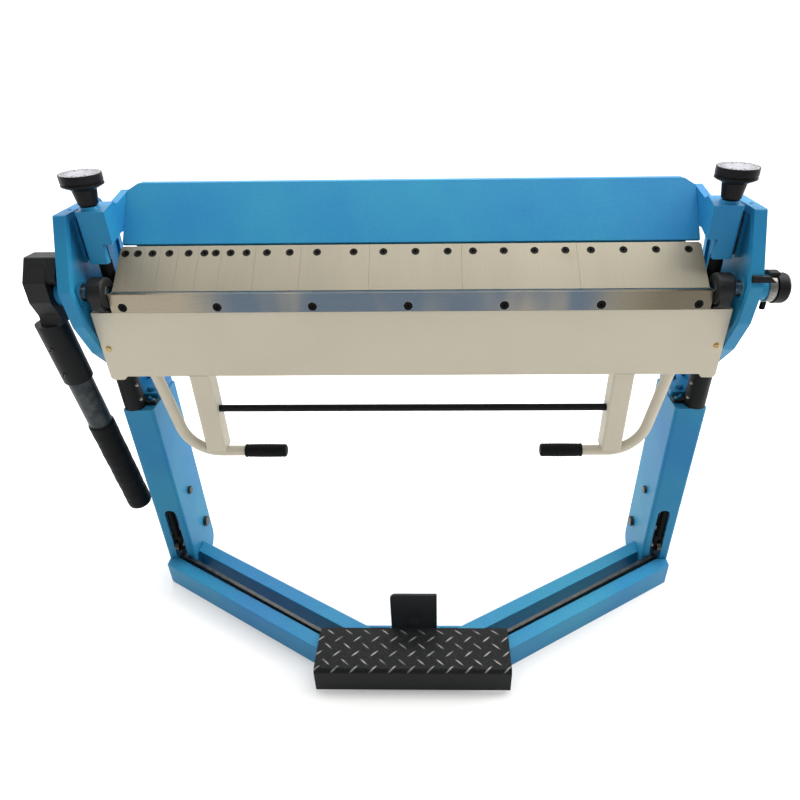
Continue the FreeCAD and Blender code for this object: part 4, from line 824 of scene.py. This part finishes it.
@dataclass
class CapScrew:
    """Socket-head screw with a chamfered head and a hexagon socket."""

    head_radius: float
    head_height: float
    socket: float
    shank_radius: float
    lip: float = 0.0
    lip_height: float = 0.0

    def add(self, form: Form, seat: Vector, axis: Vector, reach: float) -> None:
        """Add one screw to a form.

        Args:
            form: Mesh that takes it.
            seat: Middle of the face under the head.
            axis: Direction out of the head.
            reach: Length of the shank.
        """
        r, h = self.head_radius, self.head_height
        key = hexagon(self.socket)
        knurl = fluted(r, 0.18, 36)
        shank = self.shank_radius
        profile = [(0, -reach), (shank - 0.6, -reach), (shank, -reach + 0.8), (shank, 0), (r - 0.3, 0),
                   (r, 0.4), (knurl, 0.8), (knurl, h - 0.9), (r - 0.7, h), (self.socket / 2 + 0.9, h),
                   (key, h - 0.5), (key, h * 0.42), (0, h * 0.34)]
        form.turn(profile, seat, axis, 72)
        if self.lip:
            top = self.lip_height
            collar = [(r - 0.1, top - 0.8), (self.lip, top - 0.05), (self.lip - 0.2, top + 0.18),
                      (r + 0.2, top + 0.22), (r - 0.1, top)]
            form.turn(collar, seat, axis, 48, looped=True)


@dataclass
class HexBolt:
    """Hexagon head with a chamfered crown on a flat washer."""

    across: float
    thick: float
    washer: float = 1.6

    def add(self, form: Form, seat: Vector, axis: Vector) -> None:
        """Add one head with its washer, standing on a face.

        Args:
            form: Mesh that takes them.
            seat: Middle of the washer on the face.
            axis: Direction out of the face.
        """
        wide, low = self.across * 0.62, self.washer
        form.turn([(0, 0), (wide, 0), (wide + 0.4, 0.3), (wide + 0.4, low - 0.3), (wide, low), (0, low)],
                  seat, axis)
        flats, crown, top = hexagon(self.across), self.across * 0.47, low + self.thick
        form.turn([(0, low - 0.1), (flats, low - 0.1), (flats, top - 0.9), (crown, top), (0, top - 0.2)],
                  seat, axis, 72)


@dataclass
class Screws:
    """The socket screws of the fingers and the bending bar, and the heads on frame and panel."""

    slope: float = math.atan2(70.9, 93.5)
    holes: dict[int, tuple[float, int]] = field(default_factory=lambda: {
        25: (12.5, 1), 30: (15.0, 1), 35: (17.5, 1), 40: (20.0, 1), 45: (22.5, 1), 50: (12.5, 2),
        75: (20.0, 2), 100: (25.0, 2), 150: (35.0, 2), 200: (30.0, 3), 250: (25.0, 4), 270: (30.0, 4)})
    holes_along: float = 97.4
    sink: float = 9.0
    finger_screw: CapScrew = field(default_factory=lambda: CapScrew(7.35, 8.3, 5.2, 4.0, 8.9, 9.0))
    bar_screw: CapScrew = field(default_factory=lambda: CapScrew(9.2, 5.4, 7.2, 5.0, 10.6, 5.8))
    bar_holes: int = 7
    bar_pitch: float = 204.7
    bar_seat: tuple[float, float] = (-5.8, -30.5)
    finger_shank: float = 26.5
    bar_shank: float = 23.5

    def finger_places(self) -> list[float]:
        """X of each finger screw, from left to right, by each finger's inset and number of holes.

        Returns:
            The places in millimetres.
        """
        left, found = -sum(self.holes) / 2, []
        for width, (inset, count) in self.holes.items():
            step = (width - 2 * inset) / max(count - 1, 1)
            found += [left + (inset + step * i) for i in range(count)]
            left += width
        return found

    def build(self) -> None:
        """Build every screw and bolt head."""
        along = Vector((0, math.cos(self.slope), math.sin(self.slope)))
        down = Vector((0, math.sin(self.slope), -math.cos(self.slope)))
        form = Form()
        for x in self.finger_places():
            seat = along * self.holes_along + down * self.sink + Vector((x, 0, 0))
            self.finger_screw.add(form, seat, -down, self.finger_shank)
        piece = form.build("finger_cap_screws", Finish.BOLT_STEEL, "clamp_beam", "bolt_steel")
        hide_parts("finger_screws")
        form = Form()
        for i in range(self.bar_holes):
            seat = Vector(((i - self.bar_holes // 2) * self.bar_pitch, *self.bar_seat))
            self.bar_screw.add(form, seat, -Y_AXIS, self.bar_shank)
        piece = form.build("bar_cap_screws", Finish.BOLT_STEEL, "apron", "bolt_steel")
        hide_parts("bar_screws")
        self._panel_screws()
        self._frame_bolts()
        self._housing_screws()

    def _panel_screws(self) -> None:
        """Brass pan-head screws near the ends of the apron panel."""
        form = Form()
        key = hexagon(4.0)
        head = [(0, -2.0), (2.4, -2.0), (2.4, 0), (5.6, 0), (5.9, 0.5), (5.4, 2.0), (4.2, 3.0),
                (key, 3.1), (key, 1.2), (0, 0.9)]
        washer = [(0, 0), (7.6, 0), (7.9, 0.3), (7.6, 0.9), (0, 0.9)]
        for side in Side:
            seat = side.at(676.0, -6.0, -132.0)
            form.turn(washer, seat, -Y_AXIS)
            form.turn(head, seat - Y_AXIS * 0.8, -Y_AXIS, 72)
        form.build("panel_end_screws", Finish.BRASS, "apron", "bronze")

    def _frame_bolts(self) -> None:
        """Hexagon bolts that hold the bed, the tie beam, the side frames and the rod guides' feet."""
        form, painted = Form(), Form()
        web_bolt, tie_bolt, foot_bolt = HexBolt(17.0, 8.0), HexBolt(13.0, 6.5), HexBolt(7.0, 3.6, 1.0)
        flank, foot, guide_foot = 719.0, -307.0, -314.0
        for side in Side:
            for y, z in ((101.0, -128.0), (101.0, -42.0), (137.0, -128.0), (137.0, -42.0)):
                web_bolt.add(form, side.at(flank, y, z), side.outward())
            for z in (-100.0, -40.0):
                tie_bolt.add(form, side.at(flank, 183.0, z), side.outward())
            for y in (108.0, 158.0):
                web_bolt.add(painted, side.at(665.0, y, foot), Z_AXIS)
            for x, y in ((647.0, 67.0), (660.0, 76.0)):
                foot_bolt.add(painted, side.at(x, y, guide_foot), Z_AXIS)
        form.build("frame_bolts", Finish.DARK_STEEL, "frame", "dark_steel")
        painted.build("frame_foot_bolts", Finish.BLUE, "frame", "blue_paint")

    def _housing_screws(self) -> None:
        """Small bolts on the inner side of the rod guides."""
        form = Form()
        small = HexBolt(5.6, 3.2, 0.8)
        for side in Side:
            out = side.at(-1.0, -0.45, 0.0).normalized()
            for z in (-257.0, -297.0):
                small.add(form, side.at(689.0, 55.0, z) + out * 24.8, out)
        form.build("guide_screws", Finish.SILVER, "frame", "zinc")


# Sub-assemblies


@dataclass
class AdjustingKnob:
    """Bright disc and scale marks of one beam adjusting knob."""

    side: Side
    recess: float = 235.0
    disc_radius: float = 38.6
    ticks: int = 24

    def build(self) -> None:
        """Build the disc, its rim and its scale marks."""
        word = self.side.name.lower()
        body = f"knob_{word}_body"
        base = self.side.at(*KNOB_AXIS, self.recess)
        r = self.disc_radius
        form = Form()
        form.turn([(0, 0.02), (r, 0.02), (r + 0.2, 0.5), (r - 0.6, 0.9), (r - 2.0, 0.75), (r - 4.0, 0.7),
                   (9.0, 0.7), (8.2, 0.4), (7.4, 0.7), (0, 0.75)], base, Z_AXIS, 96)
        dial = Finish.DIAL_LEFT if self.side is Side.LEFT else Finish.DIAL_RIGHT
        form.build(f"knob_disc_{word}", dial, body, "silver")
        self._marks(base, word, body)

    def _marks(self, base: Vector, word: str, body: str) -> None:
        """Short graduation marks round the disc, every third one longer.

        Args:
            base: Middle of the disc's seat.
            word: The side's name.
            body: Body that the knob rides on.
        """
        form = Form()
        for i, angle in enumerate(angles(self.ticks, self.ticks)):
            length, half = (10.0, 1.0) if i % 3 else (15.0, 1.6)
            out = heading(angle)
            axes = (out, Vector((-out.y, out.x, 0)), Z_AXIS)
            span = (self.disc_radius - length, self.disc_radius - 2.6)
            form.mark(base, axes, span, half, (0.6, 0.82))
        form.build(f"knob_scale_{word}", Finish.INK, body, "black_plastic")


@dataclass
class Pedal:
    """Raised tread bars of the foot pedal."""

    top: float = -820.0
    front: float = -332.0
    back_fold: float = -233.0
    half: float = 235.0
    fold_radius: float = 12.0
    strip_drop: float = 5.0
    strip_length: float = 26.0
    pitch: float = 45.6
    bar_length: float = 29.0
    bar_half: float = 2.9
    bar_height: float = 1.7
    slant: float = math.radians(41)
    rows: tuple[float, ...] = (-10.5, 11.5, 31.5, 52.5, 75.5, 93.0)
    bars_each_side: int = 6
    off_middle: float = -3.0
    margin: float = 0.6
    sunk: float = 0.15
    stations: int = 11

    @property
    def flat(self) -> float:
        """Length of the tread between its back and front folds."""
        return self.back_fold - self.front - self.fold_radius

    def surface(self, s: float) -> tuple[Vector, Vector]:
        """Point and normal of the plate, by the distance from the tread's back fold.

        Args:
            s: Distance towards the front, or towards the back if it is negative.

        Returns:
            The point in the machine's middle plane and the plate's normal there.
        """
        if s < 0:
            slope = math.atan2(self.strip_drop, self.strip_length)
            along = Vector((0, math.cos(slope), -math.sin(slope)))
            normal = Vector((0, math.sin(slope), math.cos(slope)))
            return Vector((0, self.back_fold, self.top)) - along * s, normal
        if s <= self.flat:
            return Vector((0, self.back_fold - s, self.top)), Z_AXIS.copy()
        angle = min((s - self.flat) / self.fold_radius, math.pi / 2)
        centre = Vector((0, self.front + self.fold_radius, self.top - self.fold_radius))
        normal = Vector((0, -math.sin(angle), math.cos(angle)))
        extra = max(0.0, s - self.flat - self.fold_radius * math.pi / 2)
        return centre + normal * self.fold_radius - Z_AXIS * extra, normal

    def room(self, s: float) -> float:
        """Height that a bar may have on the front fold without passing the pedal's front face.

        Args:
            s: Distance from the tread's back fold.

        Returns:
            The height off the plate.
        """
        angle = (s - self.flat) / self.fold_radius
        if angle <= 0.2:
            return self.bar_height
        return self.fold_radius / math.sin(min(angle, math.pi / 2)) - self.fold_radius

    def build(self) -> None:
        """Build the tread pattern."""
        form = Form()
        for number, s in enumerate(self.rows):
            lean, shift = (1, 0.0) if number % 2 else (-1, 0.5)
            for k in range(-self.bars_each_side, self.bars_each_side + 1):
                self._bar(form, (k + shift) * self.pitch + self.off_middle, s, lean * self.slant)
        form.build("pedal_tread_bars", Finish.TREAD, "treadle", "black_paint", 50.0)

    def _bar(self, form: Form, x: float, s: float, turn: float) -> None:
        """Add one lens-shaped bar with a rounded crest.

        Args:
            form: Mesh that takes the bar.
            x: Middle of the bar across the pedal.
            s: Middle of the bar along the plate.
            turn: Angle of the bar from the X axis.
        """
        across = ((-1.0, 0.0), (-0.55, 0.78), (0.0, 1.0), (0.55, 0.78), (1.0, 0.0))
        rows = []
        for i in range(self.stations):
            t = -1 + 2 * i / (self.stations - 1)
            swell = math.sqrt(max(0.0, 1 - abs(t) ** 2.4))
            row = []
            for a, h in across:
                u = t * self.bar_length / 2
                v = a * self.bar_half * max(swell, 0.04)
                px = x + u * math.cos(turn) - v * math.sin(turn)
                ps = s - (u * math.sin(turn) + v * math.cos(turn))
                px = max(-self.half + self.margin, min(self.half - self.margin, px))
                ps = max(-self.strip_length + self.margin, ps)
                point, normal = self.surface(ps)
                height = min(self.bar_height * h * swell - self.sunk, self.room(ps))
                vert = form.vert(point + X_AXIS * px + normal * height)
                vert[form.crest] = h * swell
                row.append(vert)
            rows.append(row)
        form.bridge(*rows, closed=False)
        form.mesh.faces.new(rows[0])
        form.mesh.faces.new(reversed(rows[-1]))
        form.mesh.faces.new([row[0] for row in rows] + [row[-1] for row in reversed(rows)])


@dataclass
class HandleGrips:
    """Moulded grips on the handle tubes, with a flared lip and finger swells."""

    inner: float = 315.0
    outer: float = 418.0
    y: float = 10.0
    z: float = -428.0
    tube: float = 13.0
    swells: int = 46

    def build(self) -> None:
        """Build both grips."""
        form = Form()
        length = self.outer - self.inner
        for side in Side:
            profile: Profile = [(0, 0), (11.5, 0.2), (14.6, 1.6), (15.9, 4.5)]
            for i in range(1, self.swells):
                swell = 0.5 * math.sin(math.pi * i / self.swells) + 0.28 * math.sin(i * 1.37)
                profile.append((fluted(16.1 + swell, 0.25, 24), 5 + (length - 12) * i / self.swells))
            profile += [(15.6, length - 6.0), (16.6, length - 3.4), (16.9, length - 1.6),
                        (16.0, length - 0.2), (self.tube + 0.3, length), (self.tube - 0.6, length - 1.0)]
            form.turn(profile, side.at(self.inner, self.y, self.z), side.outward(), 72)
        piece = form.build("handle_grip_sleeves", Finish.RUBBER, "apron", "black_rubber", 50.0)
        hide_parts("handle_grips")


@dataclass
class SideLever:
    """Rubber sleeve of the side lever and its clamp screws."""

    x: float = -780.0
    lean: float = 0.173
    grip_top: float = -358.0
    grip_low: float = -668.0
    pipe: float = 27.5
    sleeve: float = 30.9
    socket: float = 32.5
    ribs: int = 70

    def point(self, z: float) -> Vector:
        """Point on the lever's centre line."""
        return Vector((self.x, -15 + (-z - 48) * self.lean, z))

    def build(self) -> None:
        """Build the sleeve and the small parts of the lever."""
        top, low = self.point(self.grip_top), self.point(self.grip_low)
        axis = (low - top).normalized()
        length = (low - top).length
        profile: Profile = [(self.pipe + 0.1, 1.0), (self.pipe + 1.6, 0.0), (self.sleeve - 1.7, 0.6),
                            (self.sleeve - 0.7, 3.0)]
        for i in range(self.ribs + 1):
            slack = 0.35 * math.sin(i * 0.31) + 0.25 * math.sin(i * 0.83 + 1.0)
            profile.append((fluted(self.sleeve - 0.5 + slack, 0.18, 30), 6 + (length - 20) * i / self.ribs))
        profile += [(self.sleeve - 0.6, length - 9), (29.6, length - 5.0), (26.5, length - 2.0),
                    (20.0, length - 0.4), (10.0, length), (0, length)]
        form = Form()
        form.turn(profile, top, axis, 90)
        piece = form.build("lever_grip_sleeve", Finish.RUBBER, "apron", "black_rubber", 50.0)
        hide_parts("lever_grip")
        self._socket_parts()

    def _socket_parts(self) -> None:
        """Cap screws that clamp the pipe in its socket and the head on the shaft."""
        form = Form()
        screw = CapScrew(5.0, 5.0, 4.4, 3.0)
        out = Vector((-0.2, -1.0, 0.0)).normalized()
        for z in (-120.0, -190.0):
            screw.add(form, self.point(z) + out * (self.socket - 1.0), out, 3.0)
        screw.add(form, Vector((-791.0, 30.0, 58.0)), -X_AXIS, 3.0)
        form.build("lever_clamp_screws", Finish.DARK_STEEL, "apron", "dark_steel")


@dataclass
class AngleStop:
    """Marks on the graduated ring and its knurled lock screw."""

    ring_start: float = 745.3
    ring_radius: float = 29.0
    screw_x: float = 754.3
    screw_top: float = -15.4
    marks: int = 28
    sweep: float = 75.0

    def build(self) -> None:
        """Build the marks and the lock screw."""
        form = Form()
        for i in range(self.marks):
            angle = math.radians(self.sweep * (2 * i / (self.marks - 1) - 1))
            out = Vector((0, -math.cos(angle), math.sin(angle)))
            length, half = (5.0, 0.35) if i % 3 else (9.0, 0.5)
            first = self.ring_start + 2.5
            heights = (self.ring_radius - 0.3, self.ring_radius + 0.12)
            form.mark(Vector(), (X_AXIS, X_AXIS.cross(out), out), (first, first + length), half, heights)
        form.build("ring_graduation", Finish.INK, "stop_ring", "silver")
        form = Form()
        knurl, key = fluted(6.0, 0.45, 22), hexagon(3.6)
        form.turn([(0, 0), (3.6, 0), (3.6, 15.0), (5.6, 15.4), (knurl, 16.2), (knurl, 30.6), (5.4, 31.8),
                   (3.8, 32.3), (key, 32.4), (key, 30.0), (0, 29.6)],
                  Vector((self.screw_x, 0, self.screw_top)), -Z_AXIS, 88)
        piece = form.build("ring_thumb_screw", Finish.BOLT_STEEL, "stop_ring", "dark_steel")
        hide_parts("ring_lock_screw")


@dataclass
class ThreadedRods:
    """Thread on the adjusting screws, in the open space under the end blocks."""

    root: float = 11.9
    crest: float = 12.7
    pitch: float = 3.0
    top: float = 96.5
    bottom: float = 55.0

    def build(self) -> None:
        """Build the threads."""
        form = Form()
        steps = 28
        last = int((self.top - self.bottom) / self.pitch) * steps
        for side in Side:
            rows = []
            for i, angle in enumerate(angles(last + 1, steps)):
                z = self.bottom + self.pitch * i / steps
                fade = min(1.0, i / steps, (last - i) / steps)
                crest = self.root + (self.crest - self.root) * fade
                section = ((self.root, -1.3), (crest, -0.25), (crest, 0.25), (self.root, 1.3))
                rows.append([form.vert(side.at(*KNOB_AXIS, 0) + (heading(angle) * r + Z_AXIS * (z + h)))
                             for r, h in section])
            form.bridge(*rows)
        form.build("rod_threads", Finish.BOLT_STEEL, "clamp_beam", "dark_steel", 25.0)


@dataclass
class Welds:
    """Weld beads of the base and the apron's handles."""

    base_angle: float = math.radians(30)
    bead: float = 2.6
    thin_bead: float = 2.2
    ripple_step: float = 1.1
    collar: float = 13.6

    def _bead(self, form: Form, start: Vector, end: Vector) -> None:
        """Add a rippled bead between two points.

        Args:
            form: Mesh that takes the bead.
            start: First point.
            end: Last point.
        """
        count = max(4, int((end - start).length / self.ripple_step))
        path = [start.lerp(end, i / count) for i in range(count + 1)]
        form.sweep(path, lambda i: self.bead * (0.86 + 0.16 * math.cos(i * 1.9))
                   * (0.7 if i in (0, count) else 1.0))

    def build(self) -> None:
        """Build the beads of the frame and of the apron."""
        frame_beads, apron_beads = Form(), Form()
        inner = 6.0 + (638.0 - 706.0) * math.tan(self.base_angle) + 82.0 / math.cos(self.base_angle)
        runs = [(frame_beads, (700.0, 33.0, -898.0), (700.0, 33.0, -831.0)),
                (frame_beads, (638.0, inner, -898.0), (638.0, inner, -831.0)),
                (frame_beads, (224.0, -262.0, -830.0), (150.0, -262.0, -830.0)),
                (apron_beads, (464.0, -5.0, -204.6), (510.0, -5.0, -204.6))]
        for side in Side:
            for form, start, end in runs:
                self._bead(form, side.at(*start), side.at(*end))
            ring = [side.at(592.8 + self.collar * math.cos(a), 10 + self.collar * math.sin(a), -205.0)
                    for a in angles(25, 24)]
            apron_beads.sweep(ring, lambda i: self.thin_bead * (0.88 + 0.14 * math.cos(i * 1.9)))
        frame_beads.build("base_welds", Finish.BLUE, "frame", "blue_paint", 60.0)
        apron_beads.build("handle_welds", Finish.BEIGE, "apron", "beige_paint", 60.0)


# Studio


@dataclass
class Lamp:
    """One soft rectangular light."""

    name: str
    place: Place
    aim: Place
    size: tuple[float, float]
    watts: float
    colour: Colour

    def build(self) -> None:
        """Hang the light."""
        data = bpy.data.lights.new(self.name, "AREA")
        data.shape = "RECTANGLE"
        data.size, data.size_y = self.size
        data.energy, data.color = self.watts, self.colour
        lamp = put(self.name, data)
        lamp.location = self.place
        lamp.rotation_mode = "QUATERNION"
        lamp.rotation_quaternion = (Vector(self.aim) - Vector(self.place)).to_track_quat("-Z", "Y")


@dataclass
class Studio:
    """Pale floor, soft lights and the camera."""

    eye: Place = (0.0616, -1.3298, 1.399)
    pitch: float = 31.5
    yaw: float = -1.3
    roll: float = 0.9
    focal: float = 27.9
    shift: tuple[float, float] = (-0.0318, -0.0075)
    floor_half: float = 60.0
    room_light: float = 0.45
    back_light: float = 1.12
    glow: tuple[float, float] = (-1.0, 2.6)
    glow_strength: float = 0.75
    wall: tuple[float, float] = (-0.1, 0.55)
    sensor: float = 36.0
    lamps: tuple[Lamp, ...] = (
        Lamp("ceiling", (0.2, 0.8, 3.2), (0.0, 0.0, 0.2), (4.4, 2.6), 170.0, (1.0, 0.985, 0.95)),
        Lamp("right_window", (3.2, 0.5, 2.2), (-0.6, 0.0, 0.8), (1.6, 1.6), 84.0, (1.0, 0.99, 0.97)),
        Lamp("left_window", (-3.3, 0.6, 1.6), (0.4, 0.0, 0.5), (1.8, 1.8), 36.0, (0.95, 0.98, 1.0)),
    )

    def build(self) -> None:
        """Build the whole studio."""
        bpy.context.scene.view_settings.view_transform = "Standard"
        self._floor()
        self._world()
        for lamp in self.lamps:
            lamp.build()
        self._camera()

    def _floor(self) -> None:
        """Lay a plain pale floor."""
        mesh = bmesh.new()
        bmesh.ops.create_grid(mesh, x_segments=1, y_segments=1, size=self.floor_half)
        data = bpy.data.meshes.new("floor")
        mesh.to_mesh(data)
        mesh.free()
        bench = ShaderBench(bpy.data.materials.new("pale_floor"))
        colour = bench.blend(grey(0.60), grey(0.62), bench.noise(2.0, 3.0))
        distance = bench.node("ShaderNodeVectorMath", {"operation": "LENGTH"}, {0: bench.place()}, "Value")
        glow = bench.blend(grey(0.0), grey(1.0), bench.step(distance, *self.glow))
        data.materials.append(bench.surface(Base_Color=colour, Roughness=0.8, Emission_Color=glow,
                                            Emission_Strength=self.glow_strength))
        floor = put("floor", data)

    def _world(self) -> None:
        """Fill the room with soft light: a white back wall in a dimmer room."""
        world = bpy.data.worlds.new("soft_room")
        bench = ShaderBench(world)
        place = bench.node("ShaderNodeTexCoord", output="Generated")
        depth = bench.node("ShaderNodeSeparateXYZ", None, {0: place}, "Y")
        sockets = {"Value": depth, "From Min": self.wall[0], "From Max": self.wall[1],
                   "To Min": self.room_light, "To Max": self.back_light}
        light = bench.node("ShaderNodeMapRange", {"interpolation_type": "SMOOTHSTEP"}, sockets)
        shader = bench.node("ShaderNodeBackground", None, {"Color": light})
        bench.node("ShaderNodeOutputWorld", None, {"Surface": shader})
        bpy.context.scene.world = world

    def _camera(self) -> None:
        """Set the camera at the photograph's viewing angle."""
        pitch, yaw, roll = (math.radians(v) for v in (self.pitch, self.yaw, self.roll))
        ahead = Vector((math.sin(yaw), math.cos(yaw), 0.0))
        right = Vector((math.cos(yaw), -math.sin(yaw), 0.0))
        look = ahead * math.cos(pitch) - Z_AXIS * math.sin(pitch)
        down = -(Z_AXIS * math.cos(pitch) + ahead * math.sin(pitch))
        across = right * math.cos(roll) + down * math.sin(roll)
        below = down * math.cos(roll) - right * math.sin(roll)
        data = bpy.data.cameras.new("camera")
        data.lens = self.focal
        data.sensor_width = self.sensor
        data.shift_x, data.shift_y = self.shift
        data.clip_start, data.clip_end = 0.05, 200.0
        camera = put("camera", data)
        turn = Matrix((across, -below, -look)).transposed().to_4x4()
        camera.matrix_world = Matrix.Translation(Vector(self.eye)) @ turn
        bpy.context.scene.camera = camera


def main() -> None:
    """Build the machine's looks, part by part, and then the studio."""
    logging.basicConfig(level=logging.INFO, format="%(name)s: %(message)s")
    BareMetalwork().dress()
    parts = [Screws(), *(AdjustingKnob(side) for side in Side), Pedal(), HandleGrips(), SideLever(),
             AngleStop(), ThreadedRods(), Welds(), Studio()]
    for part in parts:
        part.build()


if __name__ == "__main__":
    main()
